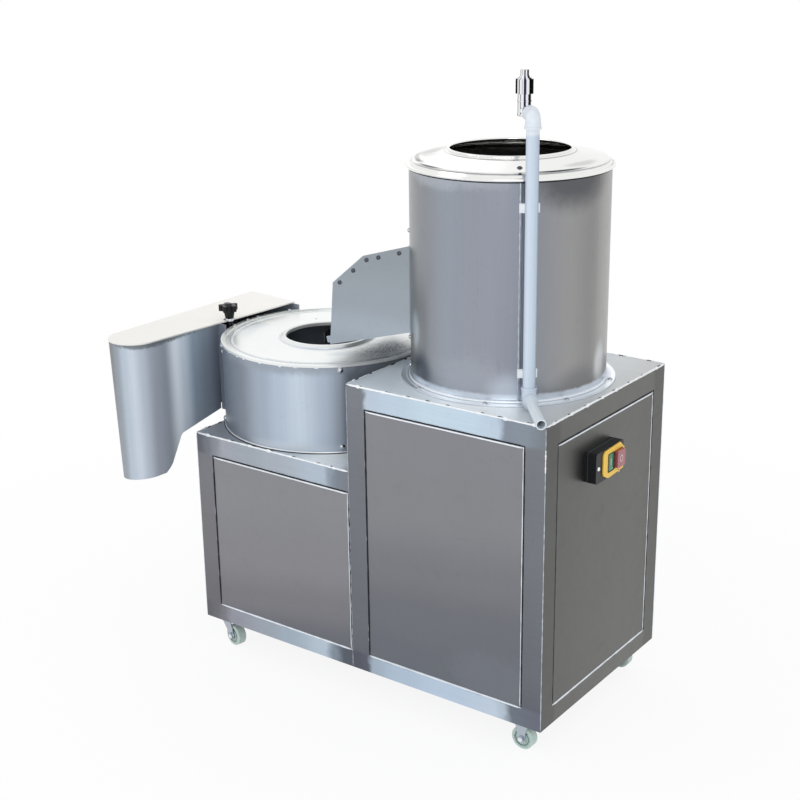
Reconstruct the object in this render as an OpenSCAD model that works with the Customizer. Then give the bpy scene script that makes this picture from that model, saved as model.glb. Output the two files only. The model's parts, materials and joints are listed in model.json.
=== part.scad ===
// Electric potato peeler and slicer on a two-step cabinet.
// One motor in the cabinet turns the wavy disc of the peeling drum and the rotor of the
// slicing drum through two belts. Peeled potatoes leave by a side window, slide down a chute
// into the slicing drum and are thrown past a knife into the hood at the left end.
// Millimetres, X along the long side, Y to the back, Z up from the floor under the wheels.

/* [Cabinet] */
// Length of the cabinet along X
cabinet_len = 910; // [890:5:940]
// Depth of the cabinet along Y
cabinet_dep = 488; // [484:2:520]
// Height of the tall cabinet, from its bottom edge to its top face
tall_h = 650; // [630:5:690]
// Height of the low cabinet
low_h = 458; // [450:1:470]
// Length of the low cabinet, up to the step
low_len = 435; // [428:1:445]
// Width of the frame strips seen round each panel
strip_w = 45; // [40:1:50]
// Height of the frame strips along the bottom
base_w = 40; // [36:1:50]
// Sheet thickness of the frames
frame_t = 2; // [1.5:0.5:3]
// Sheet thickness of the two top plates
plate_t = 2; // [1.5:0.5:3]
// Sheet thickness of the panels
panel_t = 1.5; // [1:0.5:2]
// Gap seen round a panel
panel_gap = 2.5; // [1.5:0.5:4]
// How far a panel laps behind the strips
panel_lap = 12; // [8:1:18]
// How far a panel's face lies behind the strips
panel_recess = 0.7; // [0.3:0.1:1.2]

/* [Peeling drum] */
// Outer radius of the peeling drum
peel_r = 202; // [198:1:204]
// Wall of both drums
drum_t = 2; // [1.5:0.5:3]
// Height of the peeling drum above the tall cabinet
peel_h = 435; // [425:5:470]
// Outer radius of the flange that the drum stands on
flange_r = 221; // [218:1:225]
// Height of the wavy disc's rim above the cabinet
disc_z = 76; // [72:1:80]
// Thickness of the wavy disc
disc_t = 8; // [6:1:9]
// Height of the disc's waves
wave_h = 11; // [8:1:12]
// Gap between the disc and the abrasive lining
disc_gap = 5; // [4:0.5:7]
// Thickness of the abrasive lining
lining_t = 2.5; // [2:0.5:4]
// Radius of the feed opening in the lid
feed_r = 120; // [112:1:126]
// Rise of the lid's cone from its rim to the feed opening
lid_rise = 36; // [30:1:42]
// Outer radius of the drain spout
spout_r = 31.5; // [28:0.5:33]
// Length of the drain spout behind the drum
spout_len = 52; // [45:1:60]

/* [Outlet and chute] */
// Half of the angle that the outlet window takes of the drum
window_half = 20; // [18:1:21]
// Height of the window's sill above the cabinet
window_z = 98; // [95:1:104]
// Height of the outlet window
window_h = 168; // [158:2:172]
// Thickness of the sliding gate
gate_t = 1.5; // [1:0.5:2]
// How far the gate lifts
gate_travel = 160; // [120:5:165]
// Half width of the chute over its side plates
chute_half = 114; // [112:1:118]
// Sheet thickness of the chute
chute_t = 2; // [1.5:0.5:3]

/* [Slicing drum] */
// Outer radius of the slicing drum
slice_r = 240; // [236:1:243]
// Height of the slicing drum above the low cabinet
slice_h = 194; // [186:2:200]
// Gap between the slicing drum and the step
step_gap = 7; // [5:1:10]
// How far the slicing drum's axis lies behind the middle of the cabinet
slice_back = 4; // [0:1:6]
// Radius of the hole in the slicing drum's lid
throat_r = 95; // [88:1:98]
// Gap between the rotor's vanes and the drum wall
vane_gap = 11; // [10:0.5:14]
// Number of curved vanes
vane_n = 4; // [3:1:5]
// Sheet thickness of a vane
vane_t = 3; // [2:0.5:4]

/* [Knife] */
// Angle of the knife's pivot round the slicing drum
pivot_a = 195; // [193:1:197]
// Distance of the knife's pivot outside the drum wall
pivot_out = 11; // [10:0.5:13]
// Thickness of the blade
blade_t = 3; // [2:0.5:3.5]
// Radius of the pivot rod
pivot_r = 6; // [5:0.5:7]
// Width of the star knob over its arms
knob_w = 46; // [40:2:52]

/* [Hood] */
// Distance from the drum's left side to the hood's outer wall
hood_out = 136; // [126:2:144]
// Width of the hood at its round front end
hood_w = 118; // [110:2:122]
// How far the round end's centre lies in front of the cabinet
hood_front = 45; // [35:5:55]
// Distance of the hood's rear wall from the cabinet's front
hood_back = 405; // [400:1:412]
// Gap between the slicing drum's lid and the hood's top plate
hood_gap = 11; // [9:1:15]
// Height of the hood's front end
hood_h = 330; // [304:2:340]
// Slope of the hood's lower edge across its front end, in degrees
rim_tilt = 6; // [0:0.5:8]
// Lean of the hood's walls, in degrees
hood_lean = 1.8; // [0:0.1:2.4]
// Sheet thickness of the hood
hood_t = 2; // [1.5:0.5:3]

/* [Water] */
// Outer radius of the riser pipe
riser_r = 12.5; // [11:0.5:13]
// Gap between the riser and the peeling drum
riser_gap = 8; // [7.8:0.1:10]
// Angle of the riser round the peeling drum
riser_a = -47.5; // [-52:0.5:-44]
// Height of the riser's upper bend above the cabinet
riser_h = 560; // [540:5:600]
// Angle in which the tap points from the riser
tap_a = 134; // [130:1:140]
// Distance from the riser to the tap's spindle
tap_reach = 75; // [70:1:85]
// Outer radius of the inlet stub
stub_r = 10; // [9:0.5:11]
// Distance from the riser to the stub's open end
stub_reach = 152; // [140:2:165]
// Angle in which the stub points
stub_a = -50; // [-54:1:-46]

/* [Switch] */
// Width of the switch box along Y
box_w = 112; // [110:2:120]
// Height of the switch box
box_h = 64; // [60:1:68]
// Depth of the switch box
box_d = 27; // [24:1:34]
// Distance of the switch box from the cabinet's front
box_y = 149; // [120:1:200]
// From the cabinet's top down to the middle of the switch box
switch_drop = 128; // [100:2:180]
// Travel of the two push buttons
button_travel = 3; // [2:0.5:4]

/* [Drive] */
// Radius of the spindle shafts
shaft_r = 12.5; // [11:0.5:13.5]
// Radius of the slicer's pulley
slice_pulley_r = 105; // [95:1:110]
// Radius of the peeler's pulley
peel_pulley_r = 98; // [90:1:102]
// Radius of the motor's pulley
motor_pulley_r = 32; // [29:1:34]
// Height of the slicer's belt above the cabinet's bottom edge
slice_belt_z = 345; // [340:1:350]
// Height of the peeler's belt above the cabinet's bottom edge
peel_belt_z = 388; // [384:1:392]
// Radius of the motor's body
motor_r = 72; // [65:1:76]
// Height of the motor's body
motor_h = 235; // [220:5:245]

/* [Casters] */
// Radius of a wheel
wheel_r = 25; // [23:0.5:27]
// Width of a wheel
wheel_w = 22; // [18:1:26]
// Height from the floor to the cabinet's bottom edge
caster_h = 70; // [68:1:80]
// Distance of a swivel caster's axle from its swivel axis
trail = 25; // [20:1:28]
// Distance of a swivel axis from the cabinet's sides
caster_inset = 36; // [33:1:42]
// Distance of the fixed casters' axles from the cabinet's right side
fixed_inset = 58; // [50:1:70]

/* [Hidden] */
$fn = 96;
SMALL_FN = 32;

// Clearances
SLIDE_GAP = 0.3; // between parts that move past each other
RUN_GAP = 0.05; // radial gap of a shaft in its hole
CUT = 1; // how far a cutter runs past a face

// Colours
STEEL = "#b9c1c9";
PANEL_STEEL = "#8f8f8d";
BRIGHT = "#e6e9ec";
PIPE_BLUE = "#c3cfdb";
CHROME = "#d8dce0";
BLACK = "#1c1c1e";
YELLOW = "#e8c04a";
GREEN = "#2f8a55";
RED = "#b4475a";
IRON = "#5a5c60";
RUBBER = "#242424";
NYLON = "#dfe6dc";
ZINC = "#a9aeb3";
GRIT = "#3a3733";

// Places in the cabinet's own frame, whose corner is its front bottom left edge
tall_len = cabinet_len - low_len;
peel_x = low_len + tall_len / 2;
peel_y = cabinet_dep / 2;
slice_x = low_len - step_gap - slice_r;
slice_y = cabinet_dep / 2 + slice_back;
slice_top = low_h + slice_h; // top edge of the slicing drum's wall
base_t = 3; // bottom plate of the slicing drum
lid_top = slice_top + 5; // top of the slicing drum's lid
hood_top_z = lid_top + hood_gap; // underside of the hood's top plate
hood_plate_t = 3;
hood_x0 = slice_x - slice_r - hood_out; // outer wall of the hood
hood_cx = hood_x0 + hood_w / 2;
riser_d = peel_r + riser_gap + riser_r; // riser's distance from the drum's axis
riser_x = peel_x + riser_d * cos(riser_a);
riser_y = peel_y + riser_d * sin(riser_a);
bend_z = tall_h + riser_h; // axis of the tap's inlet
stub_z = tall_h + 17; // axis of the inlet stub
cap_r = riser_r + 1.8; // outer radius of the bends
tap_x = riser_x + tap_reach * cos(tap_a);
tap_y = riser_y + tap_reach * sin(tap_a);
tap_top = bend_z + 74; // top of the tap's handle
button_out = 7; // how far the stop button stands out of the switch plate
plate_out = 2.5; // how far the switch plate stands out of its box
motor_foot = 88; // height of the motor's axis over its feet
motor_plate_t = 6;
motor_x = low_len + frame_t + motor_plate_t + motor_foot;
motor_y = 150;
motor_z = 62; // bottom of the motor's fan cover
pivot_d = slice_r + pivot_out; // distance of the knife's pivot from the drum's axis
pivot_x = slice_x + pivot_d * cos(pivot_a);
pivot_y = slice_y + pivot_d * sin(pivot_a);

// The whole object's box, from which its origin is taken
x_low = hood_x0 - 1;
x_high = cabinet_len + box_d + plate_out + button_out;
y_low = -hood_front - hood_w / 2 - 1;
y_high = peel_y + peel_r + spout_len;
mid_x = (x_low + x_high) / 2;
mid_y = (y_low + y_high) / 2;

module on_cabinet() translate([-mid_x, -mid_y, caster_h]) children();
module at_peel(z = 0) translate([peel_x, peel_y, z]) children();
module at_slicer(z = 0) translate([slice_x, slice_y, z]) children();
module ring(r_out, r_in, h) difference() {
    cylinder(r = r_out, h = h);
    translate([0, 0, -CUT]) cylinder(r = r_in, h = h + 2 * CUT);
}
// A wedge from angle a0 to a1, used to cut or keep part of a ring
module wedge(r, a0, a1, z, h) {
    n = ceil((a1 - a0) / 30);
    reach = r / cos((a1 - a0) / n / 2);
    arc = [for (i = [0 : n]) reach * [cos(a0 + (a1 - a0) * i / n), sin(a0 + (a1 - a0) * i / n)]];
    translate([0, 0, z]) linear_extrude(h) polygon(concat([[0, 0]], arc));
}
// A domed bolt head that stands on the XY plane
module dome_bolt(r, h) {
    cylinder(r = r, h = h * 0.45, $fn = SMALL_FN);
    translate([0, 0, h * 0.45]) intersection() {
        translate([0, 0, h * 0.55 - (r * r + h * h * 0.3025) / (1.1 * h)])
            sphere(r = (r * r + h * h * 0.3025) / (1.1 * h), $fn = SMALL_FN);
        cylinder(r = r, h = h, $fn = SMALL_FN);
    }
}
// Bolt heads that point outwards from a drum wall
module wall_bolt(r, a, z, size) rotate([0, 0, a]) translate([r, 0, z]) rotate([0, 90, 0])
    dome_bolt(size, size * 0.9);

// ---- Cabinet ----
// A box of sheet with a window in each side, so that only the strips along its edges stay
module strip_frame(l, d, h) difference() {
    cube([l, d, h]);
    translate([frame_t, frame_t, frame_t]) cube([l, d, h] - 2 * frame_t * [1, 1, 1]);
    translate([strip_w, -CUT, base_w])
        cube([l - 2 * strip_w, d + 2 * CUT, h - strip_w - base_w]);
    translate([-CUT, strip_w, base_w])
        cube([l + 2 * CUT, d - 2 * strip_w, h - strip_w - base_w]);
    translate([strip_w, strip_w, -CUT]) cube([l - 2 * strip_w, d - 2 * strip_w, h + 2 * CUT]);
}
// The low frame has no posts at the step, where the tall frame's posts take their place
module low_frame() color(STEEL) on_cabinet() difference() {
    strip_frame(low_len + strip_w, cabinet_dep, low_h - plate_t);
    translate([low_len, -CUT, -CUT]) cube([strip_w + CUT, cabinet_dep + 2 * CUT, low_h + CUT]);
}
module tall_frame() color(STEEL) on_cabinet() translate([low_len, 0, 0]) {
    strip_frame(tall_len, cabinet_dep, tall_h - plate_t);
    // Upright plate that carries the motor's feet
    translate([frame_t - 0.5, 10, motor_z - 4])
        cube([motor_plate_t + 0.5, cabinet_dep - 20, motor_h]);
}

module low_top_plate() color(BRIGHT) on_cabinet() difference() {
    translate([0, 0, low_h - plate_t]) cube([low_len, cabinet_dep, plate_t]);
    at_slicer(low_h - plate_t - CUT) cylinder(r = neck_bore, h = plate_t + 2 * CUT);
}
module tall_top_plate() color(BRIGHT) on_cabinet() difference() {
    translate([low_len, 0, tall_h - plate_t]) cube([tall_len, cabinet_dep, plate_t]);
    at_peel(tall_h - plate_t - CUT) cylinder(r = neck_bore, h = plate_t + 2 * CUT);
}

// A pressed panel for a window of w by h: its field fills the window up to a gap and its rim
// laps behind the strips on the left, right, bottom and top. It faces -Y.
module panel(w, h, laps = [1, 1, 1, 1]) {
    lap = panel_lap + panel_gap;
    left = laps[0] * lap;
    low = laps[2] * lap;
    field = [w - 2 * panel_gap, h - 2 * panel_gap];
    back = frame_t + panel_t;
    difference() {
        translate([panel_gap, 0, panel_gap]) {
            translate([0, panel_recess, 0]) cube([field.x, back - panel_recess, field.y]);
            translate([-left, frame_t, -low])
                cube([field.x + left + laps[1] * lap, panel_t, field.y + low + laps[3] * lap]);
        }
        translate([panel_gap + panel_t, panel_recess + panel_t, panel_gap + panel_t])
            cube([field.x - 2 * panel_t, back, field.y - 2 * panel_t]);
    }
}
low_win_h = low_h - plate_t - strip_w - base_w;
tall_win_h = tall_h - plate_t - strip_w - base_w;
tall_win_w = tall_len - 2 * strip_w;
side_win_w = cabinet_dep - 2 * strip_w;
module low_front_panel() color(PANEL_STEEL) on_cabinet() translate([strip_w, 0, base_w])
    panel(low_len - strip_w, low_win_h, [1, 0, 1, 1]);
module tall_front_panel() color(PANEL_STEEL) on_cabinet()
    translate([low_len + strip_w, 0, base_w]) panel(tall_win_w, tall_win_h);
module right_panel() color(PANEL_STEEL) on_cabinet() difference() {
    translate([cabinet_len, strip_w, base_w]) rotate([0, 0, 90])
        panel(side_win_w, tall_win_h);
    // Cable hole behind the switch box
    translate([cabinet_len - 3 * frame_t, box_y + box_w / 2, box_z]) rotate([0, 90, 0])
        cylinder(r = 9, h = 6 * frame_t, $fn = SMALL_FN);
}
module left_panel() color(PANEL_STEEL) on_cabinet()
    translate([0, cabinet_dep - strip_w, base_w]) rotate([0, 0, -90])
        panel(side_win_w, low_win_h);
module step_panel() color(PANEL_STEEL) on_cabinet()
    translate([low_len, cabinet_dep - strip_w, low_h]) rotate([0, 0, -90])
        panel(side_win_w, tall_h - plate_t - strip_w - low_h, [1, 1, 0, 1]);
gland_x = cabinet_len - strip_w - 60; // place of the cable gland in the rear panel
gland_z = 120;
module rear_panels() color(PANEL_STEEL) on_cabinet() {
    translate([low_len, cabinet_dep, base_w]) rotate([0, 0, 180])
        panel(low_len - strip_w, low_win_h, [0, 1, 1, 1]);
    difference() {
        translate([cabinet_len - strip_w, cabinet_dep, base_w]) rotate([0, 0, 180])
            panel(tall_win_w, tall_win_h);
        translate([gland_x, cabinet_dep + CUT, gland_z]) rotate([90, 0, 0])
            cylinder(r = 8.1, h = 10, $fn = SMALL_FN);
    }
}
module cable_gland() color(BLACK) on_cabinet()
    translate([gland_x, cabinet_dep - panel_recess, gland_z]) rotate([-90, 0, 0]) difference() {
        union() {
            translate([0, 0, -12]) cylinder(r = 8, h = 13);
            cylinder(r = 13, h = 4, $fn = 6);
            translate([0, 0, 4]) cylinder(r1 = 10, r2 = 8, h = 4);
            translate([0, 0, -panel_t - 4.02]) cylinder(r = 13, h = 4, $fn = 6);
        }
        translate([0, 0, -12 - CUT]) cylinder(r = 5, h = 30, $fn = SMALL_FN);
    }
module base_pans() color(PANEL_STEEL) on_cabinet() {
    translate([frame_t + SLIDE_GAP, frame_t + SLIDE_GAP, frame_t])
        cube([low_len - frame_t - 2 * SLIDE_GAP, cabinet_dep - 2 * (frame_t + SLIDE_GAP), panel_t]);
    difference() {
        translate([low_len + frame_t + SLIDE_GAP, frame_t + SLIDE_GAP, frame_t])
            cube([tall_len - 2 * (frame_t + SLIDE_GAP), cabinet_dep - 2 * (frame_t + SLIDE_GAP),
                panel_t]);
        // Vent under the motor's fan
        translate([motor_x, motor_y, 0]) cylinder(r = motor_r - 20, h = 10);
    }
}

// ---- Peeling drum ----
peel_in = peel_r - drum_t;
window_lo = tall_h + window_z;
window_hi = window_lo + window_h;
peel_top = tall_h + peel_h;
spout_lift = 12; // from the top plate to the underside of the drain spout
spout_z = tall_h + spout_r + spout_lift;
flange_t = 3;
flange_n = 8; // bolts in the drum's flange
flange_first = 20; // angle of the first one
bolt_circle = (peel_r + flange_r) / 2 + 1;
module peel_drum() color(STEEL) on_cabinet() difference() {
    at_peel() {
        translate([0, 0, tall_h]) ring(peel_r, peel_in, peel_h);
        translate([0, 0, tall_h]) ring(flange_r, peel_in, flange_t);
        // Rolled bead and weld ring at the foot
        translate([0, 0, tall_h + flange_t + 3]) rotate_extrude()
            translate([peel_r, 0]) circle(r = 2.5, $fn = SMALL_FN);
        // Frame strip round the window
        intersection() {
            translate([0, 0, window_lo - 8]) ring(peel_r, peel_in - 1, window_h + 16);
            wedge(peel_r + 5, 180 - window_half - 2, 180 + window_half + 2, window_lo - 8,
                window_h + 16);
        }
        translate([0, 0, spout_z]) rotate([-90, 0, 0]) translate([0, 0, peel_in - 8])
            cylinder(r = spout_r, h = spout_len + drum_t + 8);
        // Weld collar at the spout's root
        translate([0, 0, spout_z]) rotate([-90, 0, 0]) translate([0, 0, peel_in - 8])
            cylinder(r = spout_r + 2.5, h = drum_t + 14);
        gate_rail(1);
        gate_rail(-1);
    }
    at_peel() {
        intersection() {
            translate([0, 0, window_lo]) ring(peel_r + 2, peel_in - 5, window_h);
            wedge(peel_r + 8, 180 - window_half, 180 + window_half, window_lo, window_h);
        }
        translate([0, 0, spout_z]) rotate([-90, 0, 0]) translate([0, 0, peel_in - 12])
            cylinder(r = spout_r - drum_t, h = spout_len + 30);
        translate([0, 0, tall_h + 0.01]) cylinder(r = peel_in - 1.5, h = 2 * spout_r + 18);
        for (i = [0 : flange_n - 1]) rotate([0, 0, flange_first + i * 360 / flange_n])
            translate([bolt_circle, 0, tall_h - CUT])
                cylinder(r = 3.2, h = flange_t + 2 * CUT, $fn = SMALL_FN);
    }
}
wall_a = [216, 144]; // bolts in the drum's wall, over and under the chute's side plates
module drum_bolts() color(ZINC) on_cabinet() at_peel(tall_h) {
    for (i = [0 : flange_n - 1]) rotate([0, 0, flange_first + i * 360 / flange_n])
        translate([bolt_circle, 0, 0]) {
            cylinder(r = 3, h = flange_t + 1, $fn = SMALL_FN);
            translate([0, 0, flange_t]) dome_bolt(5, 4);
        }
    for (a = wall_a, z = [22, window_z - 16, peel_h - 130]) wall_bolt(peel_r, a, z, 4.5);
}

disc_top = tall_h + disc_z;
disc_r = peel_in - lining_t - disc_gap;
lining_r = peel_in - 0.2;
module abrasive_lining() color(GRIT) on_cabinet() at_peel() difference() {
    translate([0, 0, disc_top + 2]) ring(lining_r, peel_in - lining_t, peel_h - disc_z - 24);
    wedge(peel_r + 5, 180 - window_half - 2.3, 180 + window_half + 2.3, window_lo - 9,
        window_h + 18);
}

collar_r = 26; // collar that keeps water off the shaft
collar_h = 50;
module drain_tray() color(STEEL) on_cabinet() at_peel(tall_h) difference() {
    union() {
        cylinder(r = peel_in - 1.6, h = 2);
        cylinder(r = collar_r, h = collar_h);
    }
    translate([0, 0, -CUT]) cylinder(r = collar_r - 2, h = collar_h + 2 * CUT);
}

// Spun lid: a rolled rim on the drum's edge, a shoulder, a gentle cone and a rolled mouth
lid_t = 1.5;
shoulder_r = peel_r - 3;
mouth_z = lid_rise;
module peel_lid() color(BRIGHT) on_cabinet() at_peel(peel_top) rotate_extrude() {
    translate([peel_r + 3, 3.5]) circle(r = 3.5, $fn = SMALL_FN);
    translate([peel_in - 3, 0]) square([8, 2]);
    translate([peel_in - 2, -14]) square([1.5, 15]);
    polygon([[peel_r + 2, 1], [shoulder_r, 12], [shoulder_r - 6, 16], [feed_r + 8, mouth_z - 6],
        [feed_r + 3, mouth_z - 2], [feed_r + 1.5, mouth_z - 4], [feed_r + 7, mouth_z - 6 - lid_t],
        [shoulder_r - 6.5, 16 - lid_t], [shoulder_r - lid_t, 12 - lid_t], [peel_r - 1, 1]]);
    translate([feed_r + 3, mouth_z - 3]) circle(r = 3, $fn = SMALL_FN);
}

// Cast disc with raised waves that toss the potatoes, and a skirt over the tray's collar
wave_n = 4;
wave_r = 42;
module wave_disc() color(GRIT) on_cabinet() at_peel(disc_top) difference() {
    union() {
        translate([0, 0, -disc_t]) cylinder(r = disc_r, h = disc_t);
        translate([0, 0, -disc_t]) rotate_extrude()
            translate([disc_r - 4, disc_t]) circle(r = 3, $fn = SMALL_FN);
        intersection() {
            for (i = [0 : wave_n - 1]) rotate([0, 0, 45 + i * 360 / wave_n])
                translate([30, 0, wave_h - wave_r]) rotate([0, 90, 0])
                    cylinder(r = wave_r, h = disc_r - 36);
            translate([0, 0, -1]) cylinder(r = disc_r - 5, h = wave_h + 2);
        }
        cylinder(r = 32, h = 6);
        translate([0, 0, -disc_t - 28]) ring(collar_r + 8, collar_r + 5, 29);
        translate([0, 0, -disc_t - 10]) cylinder(r = 22, h = 11);
    }
    translate([0, 0, -disc_t - 40]) cylinder(r = shaft_r + 0.02, h = disc_t + 60);
}
neck_bore = 30; // hole in the top plates for a shaft's housing
peel_foot = peel_belt_z - 20; // lower end of the peeler's shaft
shaft_end = 10; // how far a shaft's top stands over its disc
module peel_shaft() color(ZINC) on_cabinet() at_peel(peel_foot) {
    cylinder(r = shaft_r, h = disc_top + 6 - peel_foot);
    cylinder(r = 6, h = disc_top + 6 + shaft_end - peel_foot, $fn = SMALL_FN);
}
module disc_nut() color(ZINC) on_cabinet() at_peel(disc_top + 6) difference() {
    union() {
        cylinder(r = 19, h = 2.5);
        translate([0, 0, 2.5]) cylinder(r = 12, h = 9, $fn = 6);
        translate([0, 0, 11.5]) cylinder(r1 = 10, r2 = 6, h = 5);
    }
    translate([0, 0, -CUT]) cylinder(r = 6.02, h = shaft_end + CUT + 0.3, $fn = SMALL_FN);
}

// ---- Outlet gate and chute ----
gate_half = window_half + 2.5; // half of the angle that the gate takes
gate_in = peel_r + SLIDE_GAP;
gate_out = gate_in + gate_t;
gate_lo = window_lo - 4;
gate_h = window_h + 10;
handle_z = gate_lo + gate_h - 8;
module outlet_gate() color(BRIGHT) on_cabinet() at_peel() {
    intersection() {
        translate([0, 0, gate_lo]) ring(gate_out, gate_in, gate_h);
        wedge(peel_r + 10, 180 - gate_half, 180 + gate_half, gate_lo, gate_h);
    }
    // Folded handle at the top edge
    intersection() {
        translate([0, 0, handle_z]) ring(gate_out + 22, gate_in, 3);
        wedge(peel_r + 40, 173, 187, handle_z, 3);
    }
    intersection() {
        translate([0, 0, handle_z - 12]) ring(gate_out + 22, gate_out + 19, 15);
        wedge(peel_r + 40, 173, 187, handle_z - 12, 15);
    }
}
// Each rail is a strip on the drum's wall with a lip over the gate's edge and a stop below it
rail_lo = gate_lo - 3;
rail_top = min(gate_lo + gate_h + gate_travel + 4, peel_top - 4);
lip_r = gate_out + SLIDE_GAP;
module gate_rail(side) difference() {
    intersection() {
        translate([0, 0, rail_lo]) ring(lip_r + 1.5, peel_r - 0.5, rail_top - rail_lo);
        rotate([0, 0, 180 + side * (gate_half - 0.25)])
            wedge(peel_r + 10, -1.05, 1.05, rail_lo, rail_top - rail_lo);
    }
    intersection() {
        translate([0, 0, gate_lo - SLIDE_GAP]) ring(lip_r, peel_r, peel_h);
        rotate([0, 0, 180 + side * (gate_half - 1.9)])
            wedge(peel_r + 10, -2, 2, gate_lo - SLIDE_GAP, peel_h);
    }
}

// Side view of a chute plate in X and Z, measured from the drum's axis and the cabinet's top
chute_near = peel_x - sqrt(peel_r * peel_r - chute_half * chute_half);
mouth_x = slice_x + throat_r + 7.5;
chute_lift = 22; // from the slicing drum's lid to the chute's mouth
chute_foot = lid_top + chute_lift;
chute_low = 90; // height of the side plates' lower corner at the drum
chute_pts = [[mouth_x, chute_foot], [mouth_x + 12, tall_h + 168], [peel_x - 287, tall_h + 236],
    [chute_near + 4, tall_h + 272], [chute_near + 4, tall_h + chute_low]];
plate_a = asin(chute_half / (peel_r + 2));
inner_half = chute_half - chute_t; // inner faces of the side plates
TOUCH = 0.02; // gap between curved faces that meet
module chute_side() difference() {
    union() {
        translate([0, peel_y - inner_half, 0]) rotate([90, 0, 0]) linear_extrude(chute_t)
            polygon(chute_pts);
        // Mounting flange along the drum
        at_peel() intersection() {
            translate([0, 0, tall_h + chute_low]) ring(peel_r + chute_t, peel_r - 1, 182);
            wedge(peel_r + 20, 180 + plate_a - 0.3, 180 + plate_a + 4, tall_h + chute_low, 182);
        }
    }
    at_peel(tall_h) cylinder(r = peel_r + TOUCH, h = peel_h);
}
module chute_sides() color(STEEL) on_cabinet() {
    chute_side();
    translate([0, 2 * peel_y, 0]) mirror([0, 1, 0]) chute_side();
}
// The roof is a bent sheet below the plates' top edges, with flanges turned up to the bolts
roof_drop = 20;
roof_a = [atan2(chute_pts[2].y - chute_pts[1].y, chute_pts[2].x - chute_pts[1].x),
    atan2(chute_pts[3].y - chute_pts[2].y, chute_pts[3].x - chute_pts[2].x)];
roof_l = [norm(chute_pts[2] - chute_pts[1]), norm(chute_pts[3] - chute_pts[2])];
function under(p, a, d) = p + d * [sin(a), -cos(a)];
function roof_line(d) = [under(chute_pts[1], roof_a[0], d),
    under(chute_pts[2], (roof_a[0] + roof_a[1]) / 2, d / cos((roof_a[0] - roof_a[1]) / 2)),
    under(chute_pts[3], roof_a[1], d)];
module roof_band(d0, d1, y0, y1) translate([0, y1, 0]) rotate([90, 0, 0])
    linear_extrude(y1 - y0) polygon(concat(roof_line(d0), [for (i = [2 : -1 : 0]) roof_line(d1)[i]]));
module chute_roof() color(STEEL) on_cabinet() difference() {
    union() {
        roof_band(roof_drop, roof_drop + chute_t, peel_y - inner_half, peel_y + inner_half);
        roof_band(2, roof_drop + chute_t, peel_y - inner_half, peel_y - inner_half + chute_t);
        roof_band(2, roof_drop + chute_t, peel_y + inner_half - chute_t, peel_y + inner_half);
    }
    // Clear of the drum and of the gate that lifts along it
    at_peel(tall_h) cylinder(r = gate_out + 6, h = peel_h);
}
floor_a = atan2(tall_h + chute_low - chute_foot, chute_near - mouth_x + 4);
floor_side = 14; // height of the floor's turned-up sides
module chute_floor() color(STEEL) on_cabinet() difference() {
    translate([mouth_x - 8, peel_y - inner_half, chute_foot + 2]) rotate([0, -floor_a, 0])
        difference() {
            cube([peel_x - mouth_x, 2 * inner_half, floor_side]);
            translate([-CUT, chute_t, chute_t])
                cube([peel_x - mouth_x + 20, 2 * inner_half - 2 * chute_t, floor_side + 6]);
        }
    at_peel(tall_h) cylinder(r = peel_r + SLIDE_GAP, h = peel_h);
}
// Bolts of both side plates: two on the steep run and three on the flat one
bolt_drop = 10;
module chute_bolt(i, s) translate([0, -chute_half, 0])
    let (p = under(chute_pts[i + 1] + s * roof_l[i] * [cos(roof_a[i]), sin(roof_a[i])],
        roof_a[i], bolt_drop))
        translate([p.x, 0, p.y]) rotate([90, 0, 0]) dome_bolt(4.5, 4);
module chute_bolts() color(ZINC) on_cabinet() for (side = [0, 1])
    translate([0, peel_y, 0]) mirror([0, side, 0]) {
        for (s = [0.15, 0.6]) chute_bolt(0, s);
        for (s = [0.05, 0.3, 0.73]) chute_bolt(1, s);
    }

// ---- Slicing drum ----
slice_in = slice_r - drum_t;
knife_lo = low_h + 20; // lower edge of the slice window
knife_hi = slice_top - 12;
edge_a = pivot_a - 9; // angle of the knife's edge
root_a = pivot_a + 4;
slot_lo_a = edge_a - 3; // angles of the slice window
slot_hi_a = root_a + 3;
lug_t = 5;
module lug(z) difference() {
    intersection() {
        translate([0, 0, z]) ring(pivot_d + 12, slice_in + 0.5, lug_t);
        wedge(slice_r + 60, pivot_a - 3.5, pivot_a + 3.5, z, lug_t);
    }
    rotate([0, 0, pivot_a]) translate([pivot_d, 0, z - CUT])
        cylinder(r = pivot_r + RUN_GAP, h = lug_t + 2 * CUT, $fn = 64);
}
module slicing_drum() color(STEEL) on_cabinet() at_slicer() {
    difference() {
        union() {
            translate([0, 0, low_h]) ring(slice_r, slice_in, slice_h);
            translate([0, 0, low_h]) cylinder(r = slice_r + 2, h = base_t);
        }
        translate([0, 0, low_h - CUT]) cylinder(r = neck_bore, h = base_t + 2 * CUT);
        intersection() {
            translate([0, 0, knife_lo]) ring(slice_r + 5, slice_in - 5, knife_hi - knife_lo);
            wedge(slice_r + 60, slot_lo_a, slot_hi_a, knife_lo, knife_hi - knife_lo);
        }
    }
    lug(knife_hi + 2);
    lug(knife_lo - 2 - lug_t);
}
lid_plate_t = 2;
module slicer_lid() color(BRIGHT) on_cabinet() at_slicer(slice_top) rotate_extrude() {
    translate([throat_r + 2, 0]) square([slice_r - throat_r - 2, lid_plate_t]);
    translate([slice_r - 8, 0]) square([10, 5]);
    translate([slice_r - 23, lid_plate_t - 0.5]) circle(r = 2.5, $fn = SMALL_FN);
    polygon([[throat_r, 0], [throat_r + 14, 0], [throat_r + 13, 3], [throat_r + 6, 8],
        [throat_r + 2, 9], [throat_r, 7]]);
}
tie_a = [45, 135, 225, 315]; // bolts that hold the lid and the base to the wall
rim_a = [152, 174, 182.5, 196]; // bolts on the lid's rim beside the hood
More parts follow.
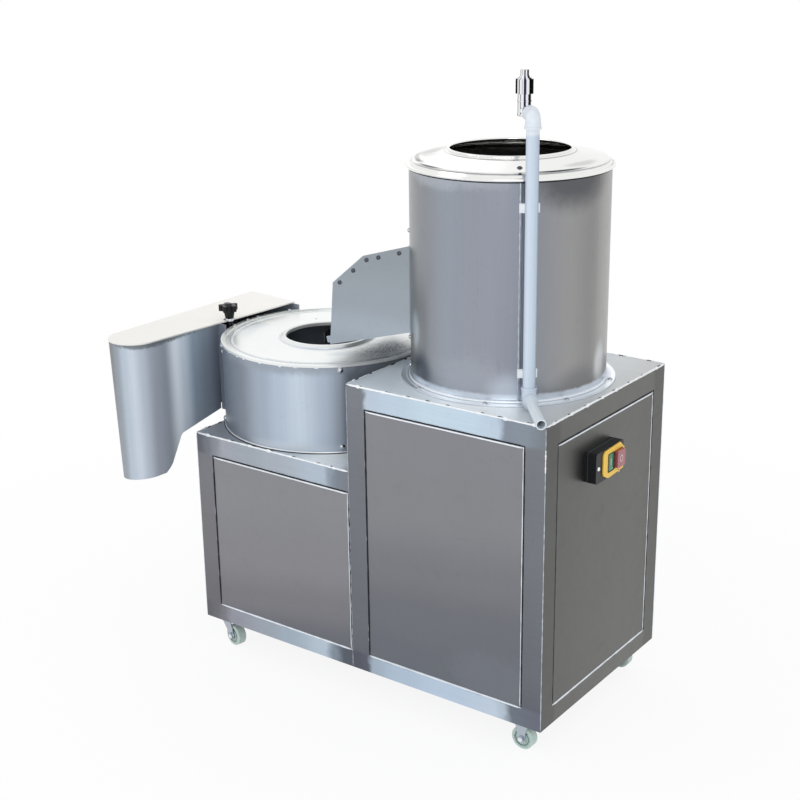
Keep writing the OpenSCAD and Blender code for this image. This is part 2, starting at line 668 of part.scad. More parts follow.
module slicer_bolts() color(ZINC) on_cabinet() at_slicer() {
    for (a = tie_a) {
        wall_bolt(slice_r, a, slice_top - 7, 6);
        wall_bolt(slice_r, a, low_h + 14, 6);
    }
    for (a = rim_a) rotate([0, 0, a]) translate([slice_r - 4, 0, slice_top + 5]) dome_bolt(5, 4.5);
}

vane_r = slice_in - vane_gap;
vane_lo = low_h + base_t + 12;
vane_h = slice_top - vane_lo - 18;
vane_bend = 150; // radius of a vane's curve
vane_lag = 35; // angle by which a vane's outer end lags behind its inner end
hub_r = throat_r - 30;
vane_in = [throat_r + 5, 0];
vane_out = vane_r * [cos(vane_lag), -sin(vane_lag)];
vane_run = vane_out - vane_in;
vane_side = sqrt(vane_bend * vane_bend - vane_run * vane_run / 4) / norm(vane_run);
vane_c = (vane_in + vane_out) / 2 + vane_side * [vane_run.y, -vane_run.x];
vane_a0 = atan2(vane_out.y - vane_c.y, vane_out.x - vane_c.x);
vane_a1 = atan2(vane_in.y - vane_c.y, vane_in.x - vane_c.x);
module vane() intersection() {
    translate(vane_c) ring(vane_bend, vane_bend - vane_t, vane_h);
    ring(vane_r, throat_r + 3, vane_h);
    translate(vane_c) wedge(vane_bend + 2, vane_a0 - 4, vane_a1 + 4, 0, vane_h);
}
module slicer_rotor() color(STEEL) on_cabinet() at_slicer(vane_lo) difference() {
    union() {
        translate([0, 0, -4]) cylinder(r = vane_r, h = 4);
        for (i = [0 : vane_n - 1]) rotate([0, 0, 45 + i * 360 / vane_n]) vane();
        // Cone that spreads the potatoes
        rotate_extrude() polygon([[0, -4], [hub_r, -4], [hub_r, 2], [34, 26], [24, 34], [0, 34]]);
    }
    translate([0, 0, -10]) cylinder(r = shaft_r + 0.02, h = 34);
    translate([0, 0, 20]) cylinder(r = 9, h = 30, $fn = SMALL_FN);
}
slice_foot = slice_belt_z - 20;
module slicer_shaft() color(ZINC) on_cabinet() at_slicer(slice_foot) {
    cylinder(r = shaft_r, h = vane_lo + 23 - slice_foot);
    cylinder(r = 6, h = vane_lo + 27 - slice_foot, $fn = SMALL_FN);
    // Cap screw in the hub
    translate([0, 0, vane_lo + 24.2 - slice_foot]) cylinder(r = 8.9, h = 9, $fn = SMALL_FN);
}

// ---- Knife and star knob ----
function polar(r, a) = r * [cos(a), sin(a)];
edge_r = slice_in - 1; // distance of the edge from the drum's axis
edge_p = polar(edge_r, edge_a);
blade_w = norm(polar(slice_r, root_a) - edge_p);
blade_u = (polar(slice_r, root_a) - edge_p) / blade_w;
pivot_s = (polar(pivot_d, pivot_a) - edge_p) * blade_u;
// A point s along the blade from its edge and h outwards from its inner face
function on_blade(s, h) = edge_p + s * blade_u + h * [blade_u.y, -blade_u.x];
blade_lo = knife_lo + 1;
blade_h = knife_hi - knife_lo - 2;
module slicing_knife() color(CHROME) on_cabinet() at_slicer(blade_lo) linear_extrude(blade_h)
    polygon([on_blade(0, 0), on_blade(7, blade_t), on_blade(blade_w, blade_t),
        on_blade(blade_w, 0)]);
rod_top = slice_top + 8;
module knife_holder() color(STEEL) on_cabinet() at_slicer() {
    // Bar on the blade's outer face, with the pivot rod in its back
    translate([0, 0, blade_lo]) linear_extrude(blade_h) polygon([
        on_blade(pivot_s - 11, blade_t), on_blade(pivot_s - 11, blade_t + 7),
        on_blade(pivot_s + 11, blade_t + 7), on_blade(pivot_s + 11, blade_t)]);
    rotate([0, 0, pivot_a]) translate([pivot_d, 0, 0]) {
        translate([0, 0, knife_lo - 4 - lug_t]) cylinder(r = pivot_r, h = rod_top - knife_lo + 4 + lug_t);
        translate([0, 0, knife_lo - 2 + SLIDE_GAP])
            cylinder(r = pivot_r + 2.5, h = knife_hi - knife_lo + 4 - 2 * SLIDE_GAP);
    }
}
stem_r = 9;
knob_foot = knife_hi + 2 + lug_t + SLIDE_GAP;
knob_z = slice_top + 40; // underside of the knob's star
module star_knob() color(BLACK) on_cabinet() translate([pivot_x, pivot_y, 0]) difference() {
    union() {
        translate([0, 0, knob_foot]) cylinder(r = stem_r, h = knob_z - knob_foot + 2, $fn = 64);
        translate([0, 0, knob_z]) {
            cylinder(r = knob_w * 0.34, h = 14, $fn = 64);
            for (i = [0 : 4]) rotate([0, 0, i * 72]) translate([knob_w / 2 - 6, 0, 0])
                cylinder(r = 6, h = 14, $fn = SMALL_FN);
        }
        translate([0, 0, knob_z + 14]) cylinder(r1 = 10, r2 = 7, h = 3, $fn = 64);
    }
    translate([0, 0, knob_foot - CUT]) cylinder(r = pivot_r + RUN_GAP, h = rod_top - knob_foot + 2);
}

// ---- Hood ----
hood_r = hood_w / 2;
slant = 3.8; // angle of the hood's inner wall to the Y axis
back_slant = 7.6; // angle of the hood's rear wall to the X axis
lean_tan = tan(hood_lean);
skirt_low = hood_top_z - hood_h;
wall_end = 150; // where the inner wall turns to the drum
floor_front = 170; // front edge of the hood's floor
lip_z = low_h + 7; // lower edge of the skirt beside the floor
// Lower edge of the skirt seen from the side: a straight run beside the drum, a round knee and
// a bowl-shaped run down to the front end
bowl_r = 75;
bowl = [-65, skirt_low + bowl_r];
knee_r = 15;
knee = [36, lip_z - 46];
module skirt_cut() translate([-500, 0, 0]) rotate([90, 0, 90]) linear_extrude(900) polygon(concat(
    [[-400, skirt_low], [-400, skirt_low - 300], [600, skirt_low - 300], [600, lip_z],
        [floor_front, lip_z]],
    [for (a = [98 : 7.5 : 143]) knee + knee_r * [cos(a), sin(a)]],
    [for (a = [-37 : -5.3 : -90]) bowl + bowl_r * [cos(a), sin(a)]]));
// A wall that leans inwards below, tangent to the round end at angle a, of length l along Y
module lean_wall(a, l) translate([hood_cx, -hood_front, hood_top_z]) rotate([0, 0, a])
    rotate([0, hood_lean, 0]) translate([hood_r - hood_t, 0, -hood_h - 4])
        cube([hood_t, l, hood_h + 8]);
module round_end() intersection() {
    translate([hood_cx, -hood_front, skirt_low]) difference() {
        cylinder(r1 = hood_r - hood_h * lean_tan, r2 = hood_r, h = hood_h);
        translate([0, 0, -CUT]) cylinder(r1 = hood_r - hood_t - (hood_h + CUT) * lean_tan,
            r2 = hood_r - hood_t + CUT * lean_tan, h = hood_h + 2 * CUT);
    }
    translate([hood_cx, -hood_front, 0])
        wedge(hood_w, 180, 360 - slant, skirt_low - CUT, hood_h + 2 * CUT);
}
module outer_wall() translate([hood_x0, -hood_front, hood_top_z]) rotate([0, -hood_lean, 0])
    translate([0, 0, -hood_h - 4]) cube([hood_t, hood_back + hood_front + 4, hood_h + 8]);
module rear_wall() translate([hood_x0, hood_back + 4, low_h - 8]) rotate([0, 0, -back_slant])
    translate([0, -hood_t, 0]) cube([slice_x - hood_x0, hood_t, hood_top_z - low_h + 12]);
module hood_floor() translate([hood_x0, floor_front, lip_z]) intersection() {
    cube([slice_x - hood_x0, hood_back - floor_front + 10, hood_t]);
    translate([0, hood_back + 3 - floor_front, -CUT]) rotate([0, 0, -back_slant])
        translate([-100, -400, 0]) cube([500, 400, 10]);
}
// Flange from the inner wall's end to the drum
module turn_flange() translate([slice_x - slice_r - 7, wall_end - hood_t, lip_z - 10])
    cube([40, hood_t, hood_top_z - lip_z + 10]);
module hood_skirt() color(STEEL) on_cabinet() difference() {
    union() {
        round_end();
        outer_wall();
        lean_wall(-slant, wall_end + hood_front + 4);
        rear_wall();
        hood_floor();
        turn_flange();
    }
    skirt_cut();
    // The front end's lower edge rises from the outer wall to the inner one
    translate([hood_x0, -400, skirt_low]) rotate([0, -rim_tilt, 0])
        translate([-100, 0, -200]) cube([500, 800, 200]);
    translate([-600, -400, hood_top_z]) cube([1200, 1200, 50]);
    // Nothing of the rear wall and the floor stands out of the leaning outer wall
    translate([hood_x0, 0, hood_top_z]) rotate([0, -hood_lean, 0])
        translate([-60, floor_front - 60, -hood_h - 4]) cube([60, 400, hood_h + 24]);
    at_slicer(low_h - 40) cylinder(r = slice_r + SLIDE_GAP, h = slice_h + 60);
    at_slicer(low_h - 40) cylinder(r = slice_r + 2 + SLIDE_GAP, h = 40 + base_t + SLIDE_GAP);
    at_slicer(slice_top - SLIDE_GAP) cylinder(r = slice_r + 2 + SLIDE_GAP, h = 40);
}
plate_in_x = slice_x - slice_r + 20; // right corner of the hood's top plate
module hood_top() color(BRIGHT) on_cabinet() difference() {
    translate([0, 0, hood_top_z]) linear_extrude(hood_plate_t) polygon(concat(
        [for (a = [180 : 4.5 : 360 - slant]) [hood_cx, -hood_front] + (hood_r + 1) * [cos(a), sin(a)]],
        [[plate_in_x, hood_back - 12], [hood_x0, hood_back + 8]]));
    translate([pivot_x, pivot_y, hood_top_z - CUT])
        cylinder(r = stem_r + 4, h = hood_plate_t + 2 * CUT, $fn = 48);
}

// ---- Water pipe and tap ----
module bend(r, bend_r) rotate_extrude(angle = 90) translate([bend_r, 0]) circle(r = r, $fn = 48);
bend_r = 15;
bottom_z = stub_z + bend_r;
top_z = bend_z - bend_r;
riser_bore = riser_r - 3.5;
spigot_r = stub_r - 0.4; // end of the inlet stub inside its bend
// An elbow: a quarter ring with a socket for the riser below it and one for a tube towards +X
module elbow(tube_r) difference() {
    union() {
        translate([bend_r, 0, 0]) rotate([90, 0, 0]) rotate([0, 0, 90]) bend(cap_r, bend_r);
        translate([bend_r - 1, 0, bend_r]) rotate([0, 90, 0]) cylinder(r = cap_r + 0.5, h = 11);
        translate([0, 0, -10]) cylinder(r = cap_r + 0.5, h = 11);
        translate([0, 0, -10]) cylinder(r = cap_r + 1.7, h = 4);
    }
    translate([bend_r, 0, 0]) rotate([90, 0, 0]) rotate([0, 0, 90]) bend(riser_bore - 0.4, bend_r);
    translate([bend_r - 0.5, 0, bend_r]) rotate([0, 90, 0]) cylinder(r = tube_r, h = 12);
    translate([0, 0, -2]) cylinder(r = riser_bore, h = 2.5);
    translate([0, 0, -12]) cylinder(r = riser_r - 0.5, h = 11);
}
module riser_pipe() color(PIPE_BLUE) on_cabinet() translate([riser_x, riser_y, 0]) {
    translate([0, 0, bottom_z + 1.5]) ring(riser_r, riser_bore, top_z - bottom_z - 3);
    translate([0, 0, top_z]) rotate([0, 0, tap_a]) elbow(riser_bore);
    translate([0, 0, bottom_z]) rotate([0, 0, stub_a]) mirror([0, 0, 1]) elbow(spigot_r + TOUCH);
}
module inlet_stub() color(ZINC) on_cabinet() translate([riser_x, riser_y, stub_z])
    rotate([0, 0, stub_a]) rotate([0, 90, 0]) {
        translate([0, 0, bend_r + 1]) ring(spigot_r, stub_r - 2, 9.5);
        translate([0, 0, bend_r + 10]) ring(stub_r, stub_r - 2, stub_reach - bend_r - 10);
    }
clamp_z = [tall_h + 63, peel_top - 49];
spout_bore = 5; // bore of the tap's spout
strap_out = 7; // how far the straps stand out beside the riser
// Straps on the drum's wall with saddles that hold the riser from behind
module pipe_clamps() color(BRIGHT) on_cabinet() for (z = clamp_z) difference() {
    at_peel(z - 9) rotate([0, 0, riser_a]) {
        intersection() {
            ring(peel_r + 2.5, peel_r - 2, 18);
            translate([peel_r - 40, -riser_r - strap_out, 0])
                cube([60, 2 * (riser_r + strap_out), 18]);
        }
        translate([peel_r - 2, -riser_r + 2, 1]) cube([riser_gap + 10, 2 * (riser_r - 2), 16]);
    }
    translate([riser_x, riser_y, z - 20]) cylinder(r = riser_r + TOUCH, h = 40);
    at_peel(z - 20) cylinder(r = peel_r + TOUCH, h = 40);
}
module tap_body() color(CHROME) on_cabinet() translate([riser_x, riser_y, bend_z]) rotate([0, 0, tap_a]) {
    // Threaded inlet with its nut, the upright body and the spout
    translate([bend_r + 10, 0, 0]) rotate([0, 90, 0]) cylinder(r = 14.5, h = 9, $fn = 6);
    translate([bend_r + 3, 0, 0]) rotate([0, 90, 0])
        cylinder(r = riser_bore - TOUCH, h = tap_reach - bend_r - 3);
    translate([bend_r + 19, 0, 0]) rotate([0, 90, 0]) cylinder(r = 10, h = tap_reach - bend_r - 19);
    translate([tap_reach, 0, -10]) {
        cylinder(r = 12.5, h = 40);
        rotate_extrude() translate([11.5, 1.5]) circle(r = 2, $fn = SMALL_FN);
        rotate_extrude() translate([11.5, 27]) circle(r = 2, $fn = SMALL_FN);
        translate([0, 0, 39]) cylinder(r = 6, h = 22, $fn = SMALL_FN);
    }
    translate([tap_reach, 0, 6]) rotate([0, 90, 0]) cylinder(r = 7, h = 16);
    translate([tap_reach + 16, 0, -12]) difference() {
        union() {
            cylinder(r = 7.5, h = 21);
            cylinder(r = 9, h = 9);
            translate([0, 0, 21]) sphere(r = 7.5, $fn = 48);
        }
        translate([0, 0, -CUT]) cylinder(r = spout_bore, h = 15);
    }
}
handle_lo = bend_z + 30 + SLIDE_GAP;
module tap_handle() color(CHROME) on_cabinet() translate([tap_x, tap_y, handle_lo]) difference() {
    union() {
        cylinder(r = 13, h = 29);
        for (i = [0 : 5]) rotate([0, 0, i * 60 + 20]) translate([11.5, 0, 0])
            cylinder(r = 5.5, h = 27, $fn = SMALL_FN);
        translate([0, 0, 28]) cylinder(r1 = 11, r2 = 8, h = 6);
        translate([0, 0, 33]) cylinder(r = 8, h = tap_top - handle_lo - 33);
    }
    translate([0, 0, -CUT]) cylinder(r = 6 + RUN_GAP, h = 24, $fn = SMALL_FN);
}

// ---- Switch ----
box_x = cabinet_len - panel_recess; // the box stands on the panel's face
face_x = cabinet_len + box_d; // outer face of the box
plate_w = 86; // width of the yellow plate
plate_y = box_y + box_w - plate_w - 0.5;
green_y = plate_y + 20;
red_y = green_y + 26;
box_z = tall_h - switch_drop;
button_z = box_z - 18; // lower edge of the two buttons
module rounded_box(size, r) {
    // A block with rounded corners in Y and Z, along X
    rotate([90, 0, 90]) linear_extrude(size.x) union() {
        translate([r, 0]) square([size.y - 2 * r, size.z]);
        translate([0, r]) square([size.y, size.z - 2 * r]);
        for (u = [r, size.y - r], v = [r, size.z - r]) translate([u, v]) circle(r = r, $fn = SMALL_FN);
    }
}
module switch_box() color(BLACK) on_cabinet() difference() {
    translate([box_x, box_y, box_z - box_h / 2]) rounded_box([face_x - box_x, box_w, box_h], 5);
    // Wells of the two buttons
    translate([face_x - 12, green_y - SLIDE_GAP, button_z - SLIDE_GAP])
        cube([20, 22 + 2 * SLIDE_GAP, 36 + 2 * SLIDE_GAP]);
    translate([face_x - 12, red_y - SLIDE_GAP, button_z - SLIDE_GAP])
        cube([20, 32 + 2 * SLIDE_GAP, 36 + 2 * SLIDE_GAP]);
}
module switch_plate() color(YELLOW) on_cabinet() difference() {
    translate([face_x, plate_y, box_z]) rotate([90, 0, 90]) linear_extrude(plate_out) polygon([
        [0, -16], [3, -22], [18, -30], [24, -31], [plate_w - 5, -28], [plate_w, -23],
        [plate_w, 16], [plate_w - 17, 31], [7, 29], [0, 23]]);
    translate([face_x - CUT, green_y - 1, button_z - 1]) cube([10, 24, 38]);
    translate([face_x - CUT, red_y - 1, button_z - 1]) cube([10, 34, 38]);
}
module start_button() color(GREEN) on_cabinet()
    translate([face_x - 8, green_y, button_z]) rounded_box([8 + plate_out, 22, 36], 2);
module stop_button() color(RED) on_cabinet()
    translate([face_x - 8, red_y, button_z]) rounded_box([8 + plate_out + button_out, 32, 36], 4);

// ---- Motor and drive ----
module bearing_seat(len) difference() {
    union() {
        cylinder(r = 75, h = 8);
        translate([0, 0, -len]) cylinder(r = 38, h = len + 1);
        for (i = [0 : 3]) rotate([0, 0, i * 90]) translate([30, -4, -30]) {
            cube([38, 8, 31]);
        }
    }
    translate([0, 0, -len - CUT]) cylinder(r = 20, h = len + 20);
    translate([0, 0, -len - CUT]) cylinder(r = 26.02, h = 16);
    translate([0, 0, -7]) cylinder(r = 26.02, h = 16);
}
neck_clear = 29; // from a bearing housing's lower end to the belt below it
slice_neck = low_h - plate_t - 8 - slice_belt_z - neck_clear; // length of the housings
peel_neck = tall_h - plate_t - 8 - peel_belt_z - neck_clear;
module bearing_housings() color(IRON) on_cabinet() {
    at_slicer(low_h - plate_t - 8) bearing_seat(slice_neck);
    at_peel(tall_h - plate_t - 8) bearing_seat(peel_neck);
}
module ball_bearing() rotate_extrude() difference() {
    translate([shaft_r + RUN_GAP, 0]) square([26 - shaft_r - RUN_GAP, 15]);
    translate([18, 12]) square([3.5, 10]);
    translate([18, -7]) square([3.5, 10]);
}
module shaft_bearings() color(CHROME) on_cabinet() {
    at_slicer(low_h - plate_t - 8) {
        translate([0, 0, -7]) ball_bearing();
        translate([0, 0, -slice_neck]) ball_bearing();
    }
    at_peel(tall_h - plate_t - 8) {
        translate([0, 0, -7]) ball_bearing();
        translate([0, 0, -peel_neck]) ball_bearing();
    }
}
// A V-groove pulley of pitch radius r, with its groove at z = 0
groove_w = 6;
module v_pulley(r, web) rotate_extrude() polygon(concat(
    [[0, -14], [28, -14]], web ? [[28, -5], [r - 18, -5], [r - 18, -11]] : [[28, -11]],
    [[r + 4, -11], [r + 4, -groove_w - 2.5], [r - 9, -groove_w + 1.2],
        [r - 9, groove_w - 1.2], [r + 4, groove_w + 2.5], [r + 4, 11]],
    web ? [[r - 18, 11], [r - 18, 5], [28, 5]] : [[28, 11]], [[28, 14], [0, 14]]));
module drive_pulley(r) difference() {
    v_pulley(r, true);
    translate([0, 0, -20]) cylinder(r = shaft_r + 0.02, h = 40);
    for (i = [0 : 4]) rotate([0, 0, i * 72]) translate([r * 0.52, 0, -10])
        cylinder(r = r * 0.15, h = 20, $fn = SMALL_FN);
}
module slicer_pulley() color(IRON) on_cabinet() at_slicer(slice_belt_z)
    drive_pulley(slice_pulley_r);
module peel_pulley() color(IRON) on_cabinet() at_peel(peel_belt_z) drive_pulley(peel_pulley_r);
motor_shaft_r = 9.5;
motor_top = motor_z + motor_h;
module motor() color(IRON) on_cabinet() translate([motor_x, motor_y, motor_z]) difference() {
    union() {
        translate([0, 0, 45]) cylinder(r = motor_r - 7, h = motor_h - 60);
        // Cooling fins along the body
        for (i = [0 : 23]) rotate([0, 0, i * 15]) translate([motor_r - 9, -1.2, 48])
            cube([9, 2.4, motor_h - 68]);
        // Fan cover and end shield
        cylinder(r = motor_r, h = 46);
        translate([0, 0, motor_h - 20]) cylinder(r = motor_r, h = 14);
        translate([0, 0, motor_h - 8]) cylinder(r = 32, h = 8);
        // Feet and terminal box
        for (z = [50, motor_h - 50]) translate([-motor_foot, -58, z]) cube([40, 116, 26]);
        for (y = [-58, 42]) translate([-motor_foot, y, 50]) cube([motor_foot - 20, 16, motor_h - 74]);
        translate([motor_r - 14, -40, 90]) cube([40, 80, 90]);
    }
    translate([0, 0, motor_h - 60]) cylinder(r = motor_shaft_r + RUN_GAP, h = 80);
}
module motor_pulley() color(IRON) on_cabinet() translate([motor_x, motor_y, 0]) {
    difference() {
        union() {
            translate([0, 0, slice_belt_z]) v_pulley(motor_pulley_r, false);
            translate([0, 0, peel_belt_z]) v_pulley(motor_pulley_r, false);
            translate([0, 0, slice_belt_z]) cylinder(r = 22, h = peel_belt_z - slice_belt_z);
        }
        translate([0, 0, slice_belt_z - 20]) cylinder(r = motor_shaft_r - 0.5, h = 100);
    }
    translate([0, 0, motor_top - 40]) cylinder(r = motor_shaft_r, h = peel_belt_z + 6 - motor_top + 40);
}
// An open belt round two pulleys at p and q with pitch radii r1 and r2, as one flat loop
function arc(c, r, a0, a1) = [for (i = [0 : 40]) c + r * [cos(a0 + (a1 - a0) * i / 40),
    sin(a0 + (a1 - a0) * i / 40)]];
function belt_loop(p, r1, q, r2, a, g, u) = concat(arc(p, r1 + u, a + g, a + 360 - g),
    arc(q, r2 + u, a - g, a + g));
belt_half = 5; // half of the belt's width, which just clears the groove
module flat_belt(p, r1, q, r2) {
    a = atan2(q.y - p.y, q.x - p.x);
    g = acos((r1 - r2) / norm(q - p));
    translate([0, 0, -belt_half]) linear_extrude(2 * belt_half) difference() {
        polygon(belt_loop(p, r1, q, r2, a, g, 2));
        polygon(belt_loop(p, r1, q, r2, a, g, -6.9));
    }
}
module drive_belts() color(RUBBER) on_cabinet() {
    translate([0, 0, slice_belt_z])
        flat_belt([slice_x, slice_y], slice_pulley_r, [motor_x, motor_y], motor_pulley_r);
    translate([0, 0, peel_belt_z])
        flat_belt([peel_x, peel_y], peel_pulley_r, [motor_x, motor_y], motor_pulley_r);
}

// ---- Casters ----
caster_pts = [[caster_inset, caster_inset], [cabinet_len - fixed_inset, caster_inset],
    [caster_inset, cabinet_dep - caster_inset],
    [cabinet_len - fixed_inset, cabinet_dep - caster_inset]];
caster_a = [-12, 0, 40, 0]; // direction of each caster's wheel
swivels = [true, false, true, false]; // the two at the hood end turn, the other two are fixed
swivel_plate = 3;
module caster_plates() color(ZINC) on_cabinet() for (i = [0 : 3])
    translate([caster_pts[i].x, caster_pts[i].y, -swivel_plate]) difference() {
        translate([-29, -29, 0]) cube([58, 58, swivel_plate]);
        if (swivels[i]) translate([0, 0, -CUT])
            cylinder(r = 5 + RUN_GAP, h = swivel_plate + 2 * CUT, $fn = 48);
    }
fork_top = -swivel_plate - SLIDE_GAP;
cheek_t = 2.5;
axle_z = wheel_r - caster_h;
cheek_in = wheel_w / 2 + 0.8;
boss_r = 9; // round end of a cheek at the axle
// A fork: two cheeks of the given side view with an axle at distance x along them
module fork(x, side_pts) {
    for (side = [0, 1]) mirror([0, side, 0]) translate([0, cheek_in + cheek_t, 0])
        rotate([90, 0, 0]) {
            linear_extrude(cheek_t) polygon(side_pts);
            translate([x, axle_z, 0]) cylinder(r = boss_r, h = cheek_t, $fn = 48);
        }
    // Axle with its two heads
    translate([x, cheek_in + cheek_t + 3.5, axle_z]) rotate([90, 0, 0])
        cylinder(r = 4.5, h = 2 * (cheek_in + cheek_t + 3.5), $fn = 48);
    for (side = [-1, 1]) translate([x, side * (cheek_in + cheek_t) + (side > 0 ? 4 : 0), axle_z])
        rotate([90, 0, 0]) cylinder(r = 7.5, h = 4, $fn = 6);
}
module swivel_fork() {
    translate([0, 0, fork_top - 6]) cylinder(r = 17, h = 6);
    translate([0, 0, fork_top - 1]) cylinder(r = 5, h = swivel_plate + 1, $fn = 48);
    translate([-12, -cheek_in - cheek_t, fork_top - 9])
        cube([trail + 8, 2 * (cheek_in + cheek_t), 4]);
    fork(trail, [[-12, fork_top - 9], [-12, fork_top - 5], [trail - 4, fork_top - 5],
        [trail + 9, axle_z + 2], [trail + 5, axle_z - 7], [trail - 6, axle_z - 6],
        [trail - 9, axle_z + 1]]);
}
// The fixed fork's cheeks flare up from the axle to a bridge under the plate, with hollow edges
flare = 22; // half of a cheek's width at its top
flare_run = flare - boss_r;
flare_foot = axle_z + 4;
flare_rise = -swivel_plate - 1 - flare_foot;
flare_r = (flare_rise * flare_rise + flare_run * flare_run) / (2 * flare_run);
function flare_edge(side) = [for (i = [0 : 5]) let (a = asin(flare_rise / flare_r) * i / 5)
    [side * (boss_r + flare_r * (1 - cos(a))), flare_foot + flare_r * sin(a)]];
module fixed_fork() {
    translate([-flare, -cheek_in - cheek_t, -swivel_plate - 4])
        cube([2 * flare, 2 * (cheek_in + cheek_t), 4]);
    fork(0, concat(flare_edge(1), [[flare, -swivel_plate], [-flare, -swivel_plate]],
        [for (i = [5 : -1 : 0]) flare_edge(-1)[i]]));
}
module caster_fork(i) color(ZINC) on_cabinet() translate([caster_pts[i].x, caster_pts[i].y, 0])
    rotate([0, 0, caster_a[i]]) {
        if (swivels[i]) swivel_fork();
        else fixed_fork();
    }
module caster_fork_1() caster_fork(0);
module caster_fork_2() caster_fork(1);
module caster_fork_3() caster_fork(2);
module caster_fork_4() caster_fork(3);
module caster_wheel(i) color(NYLON) on_cabinet() translate([caster_pts[i].x, caster_pts[i].y, 0])
    rotate([0, 0, caster_a[i]]) translate([swivels[i] ? trail : 0, 0, axle_z]) rotate([90, 0, 0])
        rotate_extrude() polygon([[4.5 + RUN_GAP, -wheel_w / 2], [9, -wheel_w / 2],
            [11, -wheel_w / 2 + 3], [wheel_r - 7, -wheel_w / 2 + 3], [wheel_r - 5, -wheel_w / 2],
            [wheel_r - 2, -wheel_w / 2], [wheel_r, -wheel_w / 2 + 2], [wheel_r, wheel_w / 2 - 2],
            [wheel_r - 2, wheel_w / 2], [wheel_r - 5, wheel_w / 2],
            [wheel_r - 7, wheel_w / 2 - 3], [11, wheel_w / 2 - 3], [9, wheel_w / 2],
            [4.5 + RUN_GAP, wheel_w / 2]]);
module caster_wheel_1() caster_wheel(0);
module caster_wheel_2() caster_wheel(1);
module caster_wheel_3() caster_wheel(2);
module caster_wheel_4() caster_wheel(3);

low_frame();
tall_frame();
low_top_plate();
tall_top_plate();
low_front_panel();
tall_front_panel();
left_panel();
right_panel();
step_panel();
rear_panels();
base_pans();
cable_gland();
peel_drum();
drum_bolts();
abrasive_lining();
drain_tray();
peel_lid();
wave_disc();
peel_shaft();
disc_nut();
peel_pulley();
outlet_gate();
chute_sides();
chute_roof();
chute_floor();
chute_bolts();
slicing_drum();
slicer_lid();
slicer_bolts();
slicer_rotor();
slicer_shaft();
slicer_pulley();
slicing_knife();
knife_holder();
star_knob();
hood_top();
hood_skirt();
riser_pipe();
inlet_stub();
pipe_clamps();
tap_body();
tap_handle();
switch_box();
switch_plate();
start_button();
stop_button();
motor();
motor_pulley();
bearing_housings();
shaft_bearings();
drive_belts();
caster_plates();
caster_fork_1();
caster_fork_2();
caster_fork_3();
caster_fork_4();
caster_wheel_1();
caster_wheel_2();
caster_wheel_3();
caster_wheel_4();
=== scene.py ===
import bpy
import bmesh
import json
import math
import numpy as np
from mathutils import Matrix, Vector

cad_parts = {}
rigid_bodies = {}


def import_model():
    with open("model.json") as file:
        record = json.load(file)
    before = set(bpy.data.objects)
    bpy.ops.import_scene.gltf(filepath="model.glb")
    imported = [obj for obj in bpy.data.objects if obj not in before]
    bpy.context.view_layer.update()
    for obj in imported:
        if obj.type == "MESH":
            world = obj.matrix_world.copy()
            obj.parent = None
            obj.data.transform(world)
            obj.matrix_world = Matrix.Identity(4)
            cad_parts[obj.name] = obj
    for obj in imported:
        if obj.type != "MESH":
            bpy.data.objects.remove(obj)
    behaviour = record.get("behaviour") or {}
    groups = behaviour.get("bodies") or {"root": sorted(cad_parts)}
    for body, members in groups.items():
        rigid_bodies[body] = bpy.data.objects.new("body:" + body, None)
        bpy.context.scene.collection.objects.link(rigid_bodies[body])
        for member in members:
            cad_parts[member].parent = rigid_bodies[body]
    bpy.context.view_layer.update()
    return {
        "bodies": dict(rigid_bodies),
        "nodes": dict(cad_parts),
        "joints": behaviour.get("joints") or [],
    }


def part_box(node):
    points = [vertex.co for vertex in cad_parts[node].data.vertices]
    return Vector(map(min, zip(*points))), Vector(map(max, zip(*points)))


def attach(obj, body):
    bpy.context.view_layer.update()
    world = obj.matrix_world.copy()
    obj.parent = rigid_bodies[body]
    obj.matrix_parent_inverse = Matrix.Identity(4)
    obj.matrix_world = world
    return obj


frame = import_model()
nodes = frame["nodes"]

# Cabinet millimetres: x from the hood end's corner, y from the front, z from the cabinet's underside
cabinet = {"middle": (378.75, 196.5, -70.0), "length": 910, "depth": 488, "tall": 650, "low": 458,
           "step": 435, "strip": 45, "foot": 40, "recess": 0.7, "plateTurn": 2}
peelAxis = (672.5, 244.0)   # upright axis of the peeling drum
sliceAxis = (188.0, 248.0)  # upright axis of the slicing drum
peelRadius = 202.0
sliceRadius = 240.0
rng = np.random.default_rng(7)


# Cabinet millimetres to metres: take the middle away and divide by a thousand
def place(points):
    return (np.asarray(points, float) - cabinet["middle"]) / 1000


# Corners of a CAD node in cabinet millimetres
def nodeBox(name):
    return [np.array(corner) * 1000 + cabinet["middle"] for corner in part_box(name)]


# Level direction of each turn, in radians: (cos, sin, 0)
def levelOut(turn):
    return np.stack([np.cos(turn), np.sin(turn), 0 * turn], -1)


# Faces of a grid of points, closed across its columns and where asked also along its rows
def gridFaces(rows, columns, closeRows=False):
    i, j = np.meshgrid(np.arange(rows if closeRows else rows - 1), np.arange(columns), indexing="ij")
    k, m = (i + 1) % rows, (j + 1) % columns
    return np.stack([i * columns + j, k * columns + j, k * columns + m, i * columns + m], -1).reshape(-1, 4)


# Written colour 0-255 to linear light: the usual two-part screen curve
def linear(colour):
    c = np.asarray(colour, float) / 255
    return tuple(np.where(c <= 0.04045, c / 12.92, ((c + 0.055) / 1.055) ** 2.4)) + (1.0,)


def addObject(name, data):
    made = bpy.data.objects.new(name, data)
    bpy.context.scene.collection.objects.link(made)
    return made


view = {"lens": 65.16, "sensor": 36, "position": (1.82200, -2.39933, 1.62581),
        "target": (0.013266, 0.047331, 0.608998), "roll": -0.0142378, "clip": (0.05, 100)}


